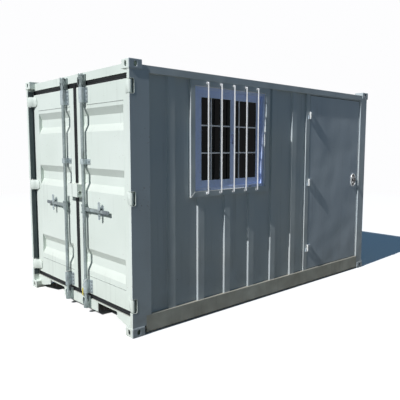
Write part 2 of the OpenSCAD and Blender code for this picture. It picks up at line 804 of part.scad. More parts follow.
module leaf_frame_near() { color(WHITE) leaf_frame(); }
module leaf_panel_near() { color(WHITE) leaf_panel(); }
module leaf_seal_near() { color(BLACK) leaf_seal(); }
module hinge_blades_near() { color(WHITE) hinge_blades(); }
module rod_brackets_near() { color(STEEL) rod_brackets(); }
module lock_box_near() { color(WHITE) lock_box(); }
module lock_rod_near() { color(STEEL) lock_rod(); }
module leaf_frame_far() { color(WHITE) far_side() leaf_frame(); }
module leaf_panel_far() { color(WHITE) far_side() leaf_panel(); }
module leaf_seal_far() { color(BLACK) far_side() leaf_seal(); }
module hinge_blades_far() { color(WHITE) far_side() hinge_blades(); }
module rod_brackets_far() { color(STEEL) far_side() rod_brackets(); }
module lock_box_far() { color(WHITE) far_side() lock_box(); }
module lock_rod_far() { color(STEEL) far_side() lock_rod(); }

corner_castings();
door_post_near();
door_post_far();
back_posts();
top_side_rails();
bottom_side_rails();
door_header();
door_sill();
back_end_rails();
fork_channels();
cross_members();
plywood_floor();
roof_sheet();
wall_left_of_window();
wall_below_window();
wall_right_of_window();
wall_far_side();
wall_back_end();
window_surround();
window_frame();
window_sashes();
window_glass();
security_bars();
walk_in_frame();
walk_in_leaf();
walk_in_hinges_frame();
walk_in_hinges_leaf();
walk_in_lock_plate();
walk_in_knob();
hinge_pins();
rod_keepers();
leaf_frame_near();
leaf_panel_near();
leaf_seal_near();
hinge_blades_near();
rod_brackets_near();
lock_box_near();
lock_rod_near();
leaf_frame_far();
leaf_panel_far();
leaf_seal_far();
hinge_blades_far();
rod_brackets_far();
lock_box_far();
lock_rod_far();
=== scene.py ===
# %% [markdown]
# # A short steel container fitted out as a cabin
# The real thing is a welded steel box about three and a half metres long. Cargo doors
# close one end, and a barred window and a steel walk-in door are cut into one long side.
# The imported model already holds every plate, post and hinge in its place, so this lesson
# gives those pieces their finish and adds what is too small for a construction drawing:
# seals, welds, bolts, catches, tags and window trim.

# %% Load the frame
import json
import math

import bmesh
import bpy
import numpy as np
from mathutils import Matrix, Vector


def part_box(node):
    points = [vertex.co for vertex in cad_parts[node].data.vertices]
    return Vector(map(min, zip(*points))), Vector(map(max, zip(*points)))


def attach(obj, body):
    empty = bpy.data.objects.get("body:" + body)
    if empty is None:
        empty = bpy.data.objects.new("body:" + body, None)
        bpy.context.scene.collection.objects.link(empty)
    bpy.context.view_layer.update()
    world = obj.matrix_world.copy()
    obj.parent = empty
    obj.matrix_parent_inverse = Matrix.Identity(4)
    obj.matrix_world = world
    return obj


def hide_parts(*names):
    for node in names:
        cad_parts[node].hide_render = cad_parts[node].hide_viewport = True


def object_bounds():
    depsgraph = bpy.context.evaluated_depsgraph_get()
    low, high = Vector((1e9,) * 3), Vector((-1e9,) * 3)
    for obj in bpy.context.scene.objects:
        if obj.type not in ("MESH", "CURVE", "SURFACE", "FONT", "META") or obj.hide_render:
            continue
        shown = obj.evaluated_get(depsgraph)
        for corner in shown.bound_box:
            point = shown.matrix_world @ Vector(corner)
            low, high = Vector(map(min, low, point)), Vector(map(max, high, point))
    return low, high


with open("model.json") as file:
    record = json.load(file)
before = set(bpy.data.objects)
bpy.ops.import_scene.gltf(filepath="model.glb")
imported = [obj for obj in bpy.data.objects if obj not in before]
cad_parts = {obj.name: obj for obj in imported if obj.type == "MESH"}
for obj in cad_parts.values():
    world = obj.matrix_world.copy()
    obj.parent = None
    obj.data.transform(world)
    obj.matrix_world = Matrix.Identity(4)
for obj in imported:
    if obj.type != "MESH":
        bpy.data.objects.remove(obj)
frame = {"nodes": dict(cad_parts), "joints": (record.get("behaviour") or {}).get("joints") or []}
cad_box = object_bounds()
low, high = (np.array(corner) for corner in cad_box)
print("box in metres", (high - low).round(3), "with", len(frame["nodes"]), "nodes")


def corners(node):
    """Lowest and highest corner of a CAD node as two arrays."""
    return [np.array(corner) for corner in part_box(node)]


def joint_at(name):
    """A point on the axis of a joint, in metres."""
    return next(np.array(joint["pos_m"]) for joint in frame["joints"] if joint["name"] == name)


# %% [markdown]
# ## Camera
# The viewpoint is a standing person's, a little outside the corner that the two shown
# faces share. A frame of three axes is worked out from heading, tilt and roll, which is
# easier to read and to correct than a rotation matrix typed in.

# %% Camera
eye = (-3.7822, -4.1338, 1.5309)
heading, tilt, roll = (math.radians(angle) for angle in (47.3042, -6.0132, 0.178))
camera_data = bpy.data.cameras.new("camera")
camera = bpy.data.objects.new("camera", camera_data)
bpy.context.scene.collection.objects.link(camera)
forward = np.array([math.cos(tilt) * math.cos(heading), math.cos(tilt) * math.sin(heading), math.sin(tilt)])
level = np.array([math.sin(heading), -math.cos(heading), 0.0])
upward = np.cross(level, forward)
right = math.cos(roll) * level + math.sin(roll) * upward
upright = math.cos(roll) * upward - math.sin(roll) * level
axes = Matrix(np.column_stack([right, upright, -forward]).tolist()).to_4x4()
camera.matrix_world = Matrix.Translation(eye) @ axes
camera_data.sensor_width = 36.0
camera_data.lens = 43.063
camera_data.shift_x = -0.031
camera_data.shift_y = -0.0065
bpy.context.scene.camera = camera
bpy.context.scene.view_settings.view_transform = "Standard"
print("camera at", eye, "lens", camera_data.lens)

# %% [markdown]
# ## Small tools for writing materials
# A finish here is arithmetic on masks: noise, height and streaks are numbers that are
# added and multiplied until they say how dirty a point is. Wrapping a node socket in a
# class with operators lets that arithmetic be written as a formula, and one method makes
# every other kind of node.


# %% Values and finishes
def linear(red, green, blue):
    """Screen colour from 0 to 255 as linear light: the screen's own tone curve, undone."""
    parts = [c / 255 for c in (red, green, blue)]
    return [c / 12.92 if c <= 0.04045 else ((c + 0.055) / 1.055) ** 2.4 for c in parts] + [1.0]


class Value:
    """A number socket; each operator adds the Math node that works it out."""

    def __init__(self, finish, socket):
        self.finish, self.socket = finish, socket

    def math(self, operation, first, second):
        return self.finish.node("Math", {"operation": operation}, {0: first, 1: second})

    def __add__(self, other):
        return self.math("ADD", self, other)

    def __sub__(self, other):
        return self.math("SUBTRACT", self, other)

    def __mul__(self, other):
        return self.math("MULTIPLY", self, other)

    def __pow__(self, other):
        return self.math("POWER", self, other)

    __radd__, __rmul__ = __add__, __mul__

    def between(self, start, end):
        """0 below start, 1 above end and a straight line between them."""
        sockets = {0: self, 1: start, 2: end}
        return self.finish.node("MapRange", {"clamp": True}, sockets)


class Finish:
    """A material whose nodes are added one call at a time."""

    def __init__(self, name, tree=None):
        self.material = None if tree else bpy.data.materials.new(name)
        if self.material:
            self.material.use_nodes = True
            self.material.node_tree.nodes.clear()
        self.tree = tree or self.material.node_tree
        self.place = self.node("TexCoord", {}, {}, "Object")

    def node(self, kind, settings, values, out=0):
        """One node: settings are set first, then each socket gets its value or its link."""
        made = self.tree.nodes.new("ShaderNode" + kind)
        for key, setting in settings.items():
            setattr(made, key, setting)
        for key, value in values.items():
            if isinstance(value, Value):
                self.tree.links.new(value.socket, made.inputs[key])
            else:
                made.inputs[key].default_value = value
        return Value(self, made.outputs[out]) if len(made.outputs) else None

    def scaled(self, x, y, z):
        """The place of a point, stretched along each axis."""
        values = {"Vector": self.place, "Scale": (x, y, z)}
        return self.node("Mapping", {}, values)

    def noise(self, scale, stretch=(1, 1, 1), detail=3.0, rough=0.55):
        """Soft random values from 0 to 1 that vary over 1 / scale metres."""
        values = {"Vector": self.scaled(*stretch), "Scale": scale, "Detail": detail, "Roughness": rough}
        return self.node("TexNoise", {}, values)

    def axis(self, letter):
        """One coordinate of the point in metres."""
        return self.node("SeparateXYZ", {}, {0: self.place}, "XYZ".index(letter))

    def blend(self, amount, under, over):
        """Colour under where amount is 0, and over where it is 1."""
        values = {0: amount, 6: under, 7: over}
        return self.node("Mix", {"data_type": "RGBA"}, values, 2)

    def facing(self, letter):
        """How far the surface looks along an axis, from -1 to 1."""
        normal = self.node("NewGeometry", {}, {}, "Normal")
        return self.node("SeparateXYZ", {}, {0: normal}, letter)

    def bump(self, height, distance, strength=1.0, normal=None):
        """The normal that a surface has when height times distance metres is added to it."""
        values = {"Height": height, "Distance": distance, "Strength": strength}
        if normal is not None:
            values["Normal"] = normal
        return self.node("Bump", {}, values)

    def shade(self, **values):
        """The surface shader, with its sockets named in small letters."""
        named = {key.replace("_", " ").title().replace("Ior", "IOR"): v for key, v in values.items()}
        shader = self.node("BsdfPrincipled", {}, named)
        self.node("OutputMaterial", {}, {"Surface": shader})
        return self.material


print("grey 128 is", round(linear(128, 128, 128)[0], 3), "in linear light")

# %% [markdown]
# ## Floor and lights
# The floor and the far background should look like one pale sheet of paper. A material
# can ask which kind of ray hits it, so the floor is pale to the eye and in reflections
# but throws back little light, and it fades into the background colour with distance.
# One distant lamp of a small angle lights the cargo doors and throws crisp shadows of
# rods, hinges and folds; the background fills them with bluish light.

# %% Floor and lights
pale = linear(253, 253, 254)
fill_light = [0.05, 0.095, 0.15, 1.0]
bounce = [0.183, 0.169, 0.133, 1.0]
floor_seen = [1.2, 1.19, 1.18, 1.0]
key_strength = 3.75
key_angle = math.radians(0.6)
key_from = (math.radians(183.3), math.radians(42))


def seen_directly(nodes):
    """1 for rays from the eye, from a mirror or through glass, and 0 for soft light."""
    camera_ray = nodes.node("LightPath", {}, {}, "Is Camera Ray")
    mirror_ray = nodes.node("LightPath", {}, {}, "Is Glossy Ray")
    glass_ray = nodes.node("LightPath", {}, {}, "Is Transmission Ray")
    return (camera_ray + mirror_ray + glass_ray).between(0, 1)


def make_floor():
    """A wide floor; factor 0 near the object is plain matt, 1 far off is the background."""
    ground = Finish("studio_floor")
    colour = ground.blend(seen_directly(ground), bounce, floor_seen)
    matt = ground.node("BsdfDiffuse", {}, {"Color": colour})
    far_colour = ground.blend(seen_directly(ground), fill_light, pale)
    far = ground.node("Emission", {}, {"Color": far_colour})
    distance = ground.node("VectorMath", {"operation": "LENGTH"}, {0: ground.place}, 1)
    mixed = ground.node("MixShader", {}, {0: distance.between(4.0, 12.0), 1: matt, 2: far})
    ground.node("OutputMaterial", {}, {"Surface": mixed})
    reach = 60.0
    mesh = bpy.data.meshes.new("studio_floor")
    square = [(-reach, -reach, 0), (reach, -reach, 0), (reach, reach, 0), (-reach, reach, 0)]
    mesh.from_pydata(square, [], [(0, 1, 2, 3)])
    mesh.materials.append(ground.material)
    floor = bpy.data.objects.new("studio_floor", mesh)
    bpy.context.scene.collection.objects.link(floor)


def make_lights():
    """A distant key lamp at a heading and height, and an even background."""
    lamp = bpy.data.lights.new("key", "SUN")
    lamp.energy, lamp.angle = key_strength, key_angle
    key = bpy.data.objects.new("key", lamp)
    turn, lift = key_from
    key.rotation_euler = (math.pi / 2 - lift, 0, turn + math.pi / 2)
    bpy.context.scene.collection.objects.link(key)
    world = bpy.data.worlds.new("studio")
    world.use_nodes = True
    world.node_tree.nodes.clear()
    sky = Finish("studio_sky", world.node_tree)
    light = sky.blend(seen_directly(sky), fill_light, pale)
    background = sky.node("Background", {}, {"Color": light})
    sky.node("OutputWorld", {}, {"Surface": background})
    bpy.context.scene.world = world


make_floor()
make_lights()
print("floor and lights are set")

# %% [markdown]
# ## Sprayed steel
# Container paint is a thick enamel sprayed on folded plate. Up close it has a faint
# orange peel; from further off the plate is slightly wavy, so reflections wobble.
# Rain draws fine vertical runs, and rust starts as small flecks. Low down the paint turns
# warmer and darker: partly dust, partly painted warm light thrown up from the ground. Every
# upward slope is greyed: partly dust lying on it, partly painted shade that dims the slopes
# facing the lamp. The same recipe serves every painted piece, with its own colour and amounts.


# %% Paint recipe
def sprayed(paint, base, flecks, rough, plate=None):
    """The last coat of a paint: rust flecks over its colour, and orange peel over its plate."""
    rusty = paint.blend(flecks * 0.8, base, linear(112, 66, 38))
    peel = paint.bump(paint.noise(420.0, detail=1.0), 0.0002, 0.5, plate)
    paint.shade(base_color=rusty, roughness=rough, normal=peel, specular_ior_level=0.14)
    return paint.material


def enamel(name, colour, faded, runs=0.25, dust=0.35, wave=0.0012, gloss=0.42):
    """Colour fades in patches, under dust and painted warm ground light low down, runs, flecks, and dust
    with painted shade on upward slopes.
    """
    paint = Finish(name)
    patches = paint.noise(1.3, detail=2.0).between(0.38, 0.66)
    base = paint.blend(patches, colour, faded)
    # Warmer and darker low down: partly dust, partly painted warm light thrown up from the ground.
    low_dust_and_bounce = paint.axis("Z").between(0.75, 0.08) * paint.noise(5.0).between(0.25, 0.7)
    dust_and_bounce = paint.blend(low_dust_and_bounce * dust, base, linear(128, 121, 108))
    streaks = paint.noise(26.0, (1, 1, 0.03), 4.0).between(0.54, 0.72)
    wet = streaks * paint.noise(2.2).between(0.42, 0.62)
    run_down = paint.blend(wet * runs, dust_and_bounce, linear(92, 90, 84))
    flecks = paint.noise(75.0).between(0.70, 0.74) * paint.noise(3.4).between(0.5, 0.6)
    # Upward slopes are greyed: partly dust, partly painted shade that dims the slopes facing the lamp.
    upward = paint.facing("Z").between(0.3, 0.75)
    settled_and_shaded = paint.blend(upward * (dust * 1.6 + 0.34), run_down, linear(176, 172, 160))
    rough = patches * 0.08 + low_dust_and_bounce * 0.2 + flecks * 0.3 + gloss
    plate = paint.bump(paint.noise(2.6, detail=1.0), wave * 10)
    return sprayed(paint, settled_and_shaded, flecks, rough, plate)


def front_and_shaded_sides(name, front, side, edge):
    """The door frame's paint: front colour, and the side colour as painted shade on the outer side faces."""
    paint = Finish(name)
    # Outer side faces, and everything more than a centimetre behind the door end, take the greyer side
    # colour: painted shade, for faces that lie in shade while the front is lit.
    out = paint.node("Math", {"operation": "ABSOLUTE"}, {0: paint.axis("Y")})
    on_side = out.between(edge - 0.0005, edge + 0.0005)
    behind = paint.axis("X").between(0.0, 0.01)
    tone = (on_side + behind).between(0, 1)
    patches = paint.noise(2.1, detail=2.0).between(0.4, 0.65)
    base = paint.blend(tone, front, side)
    worn = paint.blend(patches * 0.18, base, linear(150, 152, 150))
    # Warmer and darker low down: partly dust, partly painted warm light thrown up from the ground.
    low_dust_and_bounce = paint.axis("Z").between(0.4, 0.0) * paint.noise(9.0).between(0.3, 0.7)
    dust_and_bounce = paint.blend(low_dust_and_bounce * 0.35, worn, linear(120, 112, 98))
    flecks = paint.noise(60.0).between(0.68, 0.73) * paint.noise(4.0).between(0.48, 0.6)
    return sprayed(paint, dust_and_bounce, flecks, patches * 0.1 + 0.42)


white = linear(229, 237, 230)
# The long sides' slate grey and the walk-in door's grey are partly their paint and partly painted shade:
# both are darker than the end because those faces lie in shade.
slate_and_shade = linear(190, 200, 205)
end_paint = enamel("end_paint", white, linear(222, 231, 223), runs=0.14, dust=0.08, gloss=0.38)
side_paint = enamel("side_paint", slate_and_shade, linear(203, 209, 209), runs=0.2, dust=0.3)
leaf_grey_and_shade, leaf_faded_and_shade = linear(194, 204, 211), linear(184, 195, 204)
door_paint = enamel("walk_in_paint", leaf_grey_and_shade, leaf_faded_and_shade, runs=0.14, dust=0.3)
# The rails' warm yellowish tint is partly dust and partly painted warm light thrown up from the ground.
rail_paint = enamel("rail_paint", linear(214, 214, 202), linear(202, 200, 186), 0.26, 0.5, wave=0.0)
corner_paint = front_and_shaded_sides("corner_paint", white, slate_and_shade, high[1] - 0.0065)
print("painted finishes:", end_paint.name, side_paint.name, door_paint.name, corner_paint.name)

# %% [markdown]
# ## Bare and dull materials
# Zinc on the lock rods is cloudy and only half shiny; the window's profiles are a smooth
# blue-grey powder coat; rubber is nearly black with grey dust in it; plywood shows long
# grain. Each gets a short recipe of its own, because their patterns have little in common.


# %% Metal, rubber, glass and wood
def zinc(name, bright, dull, metal=0.75):
    """Hot-dip zinc: crystal patches a centimetre across, cloudy over a hand's width."""
    skin = Finish(name)
    spangle = skin.node("TexVoronoi", {}, {"Vector": skin.place, "Scale": 95.0}, "Color")
    cloud = skin.noise(9.0).between(0.3, 0.7)
    mixed = skin.blend(spangle * 0.5 + cloud * 0.5, dull, bright)
    grime = skin.noise(30.0, (1, 1, 0.2)).between(0.56, 0.7)
    colour = skin.blend(grime * 0.45, mixed, linear(74, 72, 66))
    rough = spangle * 0.12 + grime * 0.25 + 0.36
    dents = skin.bump(skin.noise(180.0), 0.0004)
    skin.shade(base_color=colour, metallic=metal, roughness=rough, normal=dents)
    return skin.material


def drawn_profile(coat, base, dust, rough):
    """The end of a coat on drawn metal: grey dust over its colour, faint lines along it."""
    worn = coat.blend(dust * 0.25, base, linear(150, 150, 150))
    lines = coat.bump(coat.noise(300.0, (0.05, 1, 0.05)), 0.0001)
    coat.shade(base_color=worn, roughness=rough, normal=lines)
    return coat.material


def powder_coat(name, colour, shade):
    """Even satin coat with faint draw lines along the profile."""
    coat = Finish(name)
    soft = coat.noise(6.0).between(0.35, 0.65)
    base = coat.blend(soft, colour, shade)
    return drawn_profile(coat, base, coat.noise(40.0).between(0.58, 0.75), soft * 0.1 + 0.3)


def rubber(name, colour, dusted):
    """Black rubber with a pale bloom and shallow grain."""
    skin = Finish(name)
    bloom = skin.noise(14.0, detail=4.0).between(0.42, 0.75)
    base = skin.blend(bloom * 0.6, colour, dusted)
    rough, grain = bloom * 0.15 + 0.6, skin.bump(skin.noise(350.0), 0.0003)
    skin.shade(base_color=base, roughness=rough, normal=grain, specular_ior_level=0.2)
    return skin.material


def glass(name):
    """Dark panes with a thin film of dust: partly tint, partly painted shade of the dark room behind."""
    pane = Finish(name)
    film = pane.noise(3.0, detail=4.0).between(0.5, 0.8)
    base = pane.blend(film * 0.015, linear(10, 15, 19), linear(120, 122, 120))
    rough = film * 0.08 + 0.04
    pane.shade(base_color=base, roughness=rough, ior=1.2, transmission_weight=0.18, specular_ior_level=0.3)
    return pane.material


def smooth_metal(name, bright, scratched, rough=0.26, metal=1.0):
    """Turned or drawn metal: fine scratches change its gloss more than its colour."""
    skin = Finish(name)
    scratch = skin.noise(160.0, (1, 1, 0.12), 4.0).between(0.45, 0.7)
    base = skin.blend(scratch * 0.5, bright, scratched)
    skin.shade(base_color=base, metallic=metal, roughness=scratch * 0.16 + rough)
    return skin.material


def plywood(name):
    """Floor boards of plywood: grain runs along the box, with a joint every 1.2 metres."""
    wood = Finish(name)
    grain = wood.noise(7.0, (0.6, 12, 12), 5.0)
    base = wood.blend(grain.between(0.3, 0.7), linear(148, 112, 74), linear(112, 80, 50))
    along = wood.node("Math", {"operation": "PINGPONG"}, {0: wood.axis("X"), 1: 0.6})
    joint = along.between(0.006, 0.002)
    worn = wood.noise(3.0).between(0.45, 0.7)
    scuffed = wood.blend(worn * 0.4, base, linear(128, 118, 104))
    colour = wood.blend(joint * 0.85, scuffed, linear(40, 30, 22))
    rough = worn * 0.15 + 0.55
    wood.shade(base_color=colour, roughness=rough, normal=wood.bump(grain - joint * 2, 0.0006))
    return wood.material


def plain(name, colour, other, rough=0.45, metal=0.0, grain=200.0):
    """Moulded plastic or brushed-on coating with slight patches."""
    skin = Finish(name)
    patch = skin.noise(12.0).between(0.35, 0.65)
    base = skin.blend(patch, colour, other)
    bumps = skin.bump(skin.noise(grain), 0.0003)
    skin.shade(base_color=base, metallic=metal, roughness=patch * 0.12 + rough, normal=bumps)
    return skin.material


def inside(value, low_end, high_end):
    """1 where the value lies between two ends, 0 elsewhere."""
    return value.between(low_end - 0.0005, low_end) * value.between(high_end + 0.0005, high_end)


glass_points = np.array([v.co for v in frame["nodes"]["window_glass"].data.vertices])
pane_x, pane_y = (np.unique(glass_points[:, i].round(4)) for i in (0, 1))


def sash_coat(name, colour, bars):
    """The sash coat, but paler on the thin glazing bars in front of each pane."""
    coat = Finish(name)
    x0, x1, x2, x3 = pane_x
    middle_y = glass_points[:, 1].mean()
    rise = inside(coat.axis("Z"), glass_points[:, 2].min(), glass_points[:, 2].max())
    front_pane = inside(coat.axis("X"), x0, x1)
    rear_pane = inside(coat.axis("X"), x2, x3) * coat.axis("Y").between(middle_y - 0.001, middle_y)
    base = coat.blend(rise * (front_pane + rear_pane).between(0, 1), colour, bars)
    dust = coat.noise(40.0).between(0.55, 0.75)
    return drawn_profile(coat, base, dust, dust * 0.1 + 0.32)


def highlit_barrel_coat(name, bright, plate):
    """Near white on the hinge barrel, that is near the door's axis, as a painted highlight of the sun on it,
    and greyer on its plates.
    """
    coat = Finish(name)
    swing_x, swing_y = joint_at("walk_in_swing")[:2]
    x, y = coat.axis("X") - swing_x, coat.axis("Y") - swing_y
    away = (x * x + y * y) ** 0.5
    base = coat.blend(away.between(0.0135, 0.0145), bright, plate)
    grime = coat.noise(60.0).between(0.55, 0.7)
    worn = coat.blend(grime * 0.3, base, linear(120, 112, 100))
    coat.shade(base_color=worn, roughness=grime * 0.2 + 0.3, specular_ior_level=0.3)
    return coat.material


galvanised = zinc("galvanised", linear(164, 176, 176), linear(112, 122, 121))
window_alloy = powder_coat("window_alloy", linear(192, 212, 252), linear(206, 220, 252))
sash_alloy = sash_coat("sash_alloy", linear(192, 212, 252), linear(250, 250, 252))
# The hinge barrel's near white is a painted highlight of the sun on it; its plates keep a grey like the
# door's.
highlit_barrel_paint = highlit_barrel_coat("highlit_barrel_paint", linear(246, 248, 246), linear(176, 187, 197))
seal_rubber = rubber("seal_rubber", linear(16, 18, 20), linear(42, 46, 49))
# The hinge posts' strip is painted shade: the posts' inner faces lie in deep shade.
post_shade_strip = rubber("post_shade_strip", linear(84, 95, 97), linear(104, 113, 112))
pane_glass = glass("pane_glass")
bar_steel = smooth_metal("bar_steel", linear(228, 230, 231), linear(186, 188, 190), 0.34, 0.55)
rim_chrome = smooth_metal("rim_chrome", linear(240, 242, 242), linear(214, 216, 216), 0.3, 0.35)
bright_steel = smooth_metal("bright_steel", linear(226, 228, 229), linear(170, 172, 174), 0.22, 0.85)
board = plywood("plywood")
knob_black = plain("knob_black", linear(26, 27, 29), linear(44, 45, 47), 0.3)
underframe = plain("underframe", linear(34, 35, 36), linear(58, 56, 52), 0.6)
# The caulk's grey, darker than the paint, is partly the sealant and partly painted shade of the seam it
# fills.
caulk_and_seam_shade = plain("caulk_and_seam_shade", linear(172, 180, 176), linear(150, 156, 150), 0.5)
# The latch's dark blue-grey is painted shade: the shaded frame's colour, on a latch that stands in the sun.
shaded_latch_coat = plain("shaded_latch_coat", linear(84, 98, 134), linear(72, 84, 116), 0.5)
white_plastic = plain("white_plastic", linear(236, 237, 234), linear(214, 216, 212), 0.35)
yellow_plastic = plain("yellow_plastic", linear(216, 198, 62), linear(196, 176, 48), 0.4)
print("dull and bare finishes are made")

# %% [markdown]
# ## Give every CAD piece its finish
# The imported nodes keep their meshes. Folded plate has no knife edges, so most pieces also
# get a small bevel: their loose triangles are first welded by a modifier, then every edge
# sharper than forty degrees is rounded, which gives the thin bright lines that real
# steel edges show.

# %% Finishes for the imported nodes
finish_groups = [
    (corner_paint, 5, "corner_castings"), (corner_paint, 1.5, "door_post"),
    (side_paint, 1.5, "back_posts top_side_rails"), (rail_paint, 1.5, "bottom_side_rails back_end_rails"),
    (side_paint, 0.8, "roof_sheet wall"), (side_paint, 1.2, "window_surround walk_in_frame"),
    (end_paint, 1.5, "door_header door_sill leaf_frame lock_box"), (end_paint, 1.2, "leaf_panel"),
    (end_paint, 2, "hinge_blades"), (underframe, 1, "fork_channels cross_members"),
    (board, 0, "plywood_floor"), (window_alloy, 1.2, "window_frame"), (sash_alloy, 1.2, "window_sashes"),
    (pane_glass, 0, "window_glass"), (bar_steel, 0, "security_bars"), (door_paint, 1.5, "walk_in_leaf"),
    (highlit_barrel_paint, 0.8, "walk_in_hinges"), (bright_steel, 1.5, "walk_in_lock_plate"),
    (knob_black, 1, "walk_in_knob"), (seal_rubber, 0, "leaf_seal"), (galvanised, 0.8, "hinge_pins"),
    (galvanised, 1, "rod_keepers rod_brackets lock_rod"),
]
node_finish = {name: (material, width_mm / 1000)
               for material, width_mm, names in finish_groups for name in names.split()}


def round_edges(piece, width):
    """Welds the loose triangles, then rounds edges sharper than forty degrees."""
    weld = piece.modifiers.new("weld", "WELD")
    weld.merge_threshold = 0.00002
    bevel = piece.modifiers.new("edges", "BEVEL")
    bevel.width, bevel.segments = width, 2
    bevel.limit_method, bevel.angle_limit = "ANGLE", math.radians(40)
    bevel.harden_normals = False


for node, piece in frame["nodes"].items():
    key = max((name for name in node_finish if node.startswith(name)), key=len)
    material, width = node_finish[key]
    piece.data.materials.clear()
    piece.data.materials.append(material)
    if width:
        round_edges(piece, width)
print("finished", len(frame["nodes"]), "packed nodes")

# %% [markdown]
# ## Surfaces as whole arrays
# Every added piece is a grid of points: rows follow its length, columns go round it. A
# grid is made by one formula on whole arrays, and its quads follow from the grid's size.


# %% Grids and their quads
def quads_of(rows, columns, closed=False):
    """Quads between each row of points and the next; columns always close up."""
    i, j = np.meshgrid(np.arange(rows - (not closed)), np.arange(columns), indexing="ij")
    i2, j2 = (i + 1) % rows, (j + 1) % columns
    around = [i * columns + j, i * columns + j2, i2 * columns + j2, i2 * columns + j]
    return np.stack(around, -1).reshape(-1, 4)


def surface(grid, closed=False):
    """A grid of points (rows, columns, 3) as points and quads; an open end closes at its middle."""
    if not closed:
        ends = [row.mean(0) * np.ones_like(row) for row in (grid[0], grid[-1])]
        grid = np.concatenate([ends[:1], grid, ends[1:]])
    return grid.reshape(-1, 3), quads_of(*grid.shape[:2], closed)


print("a closed ring of 3 by 4 points has", len(quads_of(3, 4, True)), "quads")

# %% [markdown]
# ## Turned, carried and rounded shapes
# Bolt heads and knobs are profiles turned round a line; seals and beads are profiles
# carried along a path; handles and tabs are boxes whose edges are rounded. Profiles are
# in millimetres, as a maker draws them.


# %% Turned and carried profiles
def turned(profile, axis, sides=20, closed=False):
    """Points r cos a, r sin a at height h for each (r, h), with height along +z, -x or -y."""
    angle = np.arange(sides) * 2 * math.pi / sides
    radius, height = (np.array(profile, float) / 1000).T[:, :, None]
    across, along = radius * np.cos(angle), radius * np.sin(angle)
    height = height + 0 * across
    order = {"z": (across, along, height), "x": (-height, across, along), "y": (across, -height, along)}
    return surface(np.stack(order[axis], -1), closed)


def copies(shape, places):
    """The same surface at many places: its points plus each place."""
    points, quads = shape
    places = np.array(places, float)
    many = points[None] + places[:, None]
    shifts = np.arange(len(places))[:, None, None] * len(points)
    return many.reshape(-1, 3), (quads[None] + shifts).reshape(-1, 4)


def carried(profile, path, up, closed=False):
    """Profile (u, v) at each path point p: p + u m + v up, where m is the mitred side way.

    The side way of a stretch is up x direction; at a corner m = (a + b) / (1 + a.b).
    """
    path, up = np.array(path, float), np.array(up, float)
    profile = np.array(profile, float) / 1000
    steps = np.roll(path, -1, 0) - path
    sideways = np.cross(up, steps)
    sideways = sideways / np.maximum(np.linalg.norm(sideways, axis=1), 1e-9)[:, None]
    if not closed:
        sideways[-1] = sideways[-2]
    before = np.roll(sideways, 1, 0)
    if not closed:
        before[0] = sideways[0]
    mitre = (before + sideways) / (1 + (before * sideways).sum(1))[:, None]
    grid = path[:, None] + profile[None, :, :1] * mitre[:, None] + profile[None, :, 1:] * up
    return surface(grid, closed)


print("a peg with six sides has", len(turned([(0, 0), (4, 0), (4, 9), (0, 9)], "z", 6)[1]), "quads")


# %% Rounded boxes and mirror images
def rounded_box(lo, hi, radius, steps=3):
    """Middle + sign of the direction times the flat half size + radius times the direction."""
    lo, hi = np.array(lo, float), np.array(hi, float)
    turn = np.concatenate([np.linspace(k, k + 1, steps) for k in range(4)]) * math.pi / 2
    sign_turn = np.repeat([math.pi / 4 + k * math.pi / 2 for k in range(4)], steps)
    rise = np.concatenate([np.linspace(-1, 0, steps), np.linspace(0, 1, steps)]) * math.pi / 2
    up_sign = np.repeat([-1.0, 1.0], steps)
    flat = (hi - lo) / 2 - radius
    x = np.sign(np.cos(sign_turn)) * flat[0] + radius * np.cos(rise)[:, None] * np.cos(turn)
    y = np.sign(np.sin(sign_turn)) * flat[1] + radius * np.cos(rise)[:, None] * np.sin(turn)
    z = (up_sign * flat[2] + radius * np.sin(rise))[:, None] + 0 * x
    return surface(np.stack([x, y, z], -1) + (lo + hi) / 2)


def mirrored(shape):
    """The same surface on the other long side: y becomes -y."""
    return shape[0] * (1, -1, 1), shape[1]


def with_mirror(shapes):
    """The shapes and their mirror images."""
    return shapes + [mirrored(shape) for shape in shapes]


print("a rounded box has", len(rounded_box((0, 0, 0), (1, 1, 1), 0.1)[1]), "quads")

# %% [markdown]
# ## From surfaces to pieces
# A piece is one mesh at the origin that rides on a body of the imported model. Doubled
# points are merged, so poles and seams close, and the faces are turned outwards. The two
# cargo doors are mirror images, so most of their pieces are made as a pair.


# %% Adding a piece
def add_piece(name, shapes, body, material, crease=40):
    """Joins shapes into one mesh, with edges sharper than crease degrees left sharp."""
    starts = np.cumsum([0] + [len(points) for points, quads in shapes[:-1]])
    points = np.concatenate([points for points, quads in shapes])
    quads = np.concatenate([shape[1] + start for shape, start in zip(shapes, starts)])
    mesh = bpy.data.meshes.new(name)
    mesh.vertices.add(len(points))
    mesh.vertices.foreach_set("co", points.astype(np.float32).ravel())
    mesh.loops.add(quads.size)
    mesh.loops.foreach_set("vertex_index", quads.astype(np.int32).ravel())
    mesh.polygons.add(len(quads))
    mesh.polygons.foreach_set("loop_start", np.arange(0, quads.size, 4, dtype=np.int32))
    mesh.update(calc_edges=True)
    shell = bmesh.new()
    shell.from_mesh(mesh)
    bmesh.ops.remove_doubles(shell, verts=shell.verts, dist=1e-6)
    bmesh.ops.recalc_face_normals(shell, faces=shell.faces)
    shell.to_mesh(mesh)
    shell.free()
    mesh.polygons.foreach_set("use_smooth", np.ones(len(mesh.polygons), bool))
    mesh.set_sharp_from_angle(angle=math.radians(crease))
    mesh.materials.append(material)
    piece = bpy.data.objects.new(name, mesh)
    bpy.context.scene.collection.objects.link(piece)
    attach(piece, body)
    print(name, len(mesh.polygons), "faces on", body)
    return piece


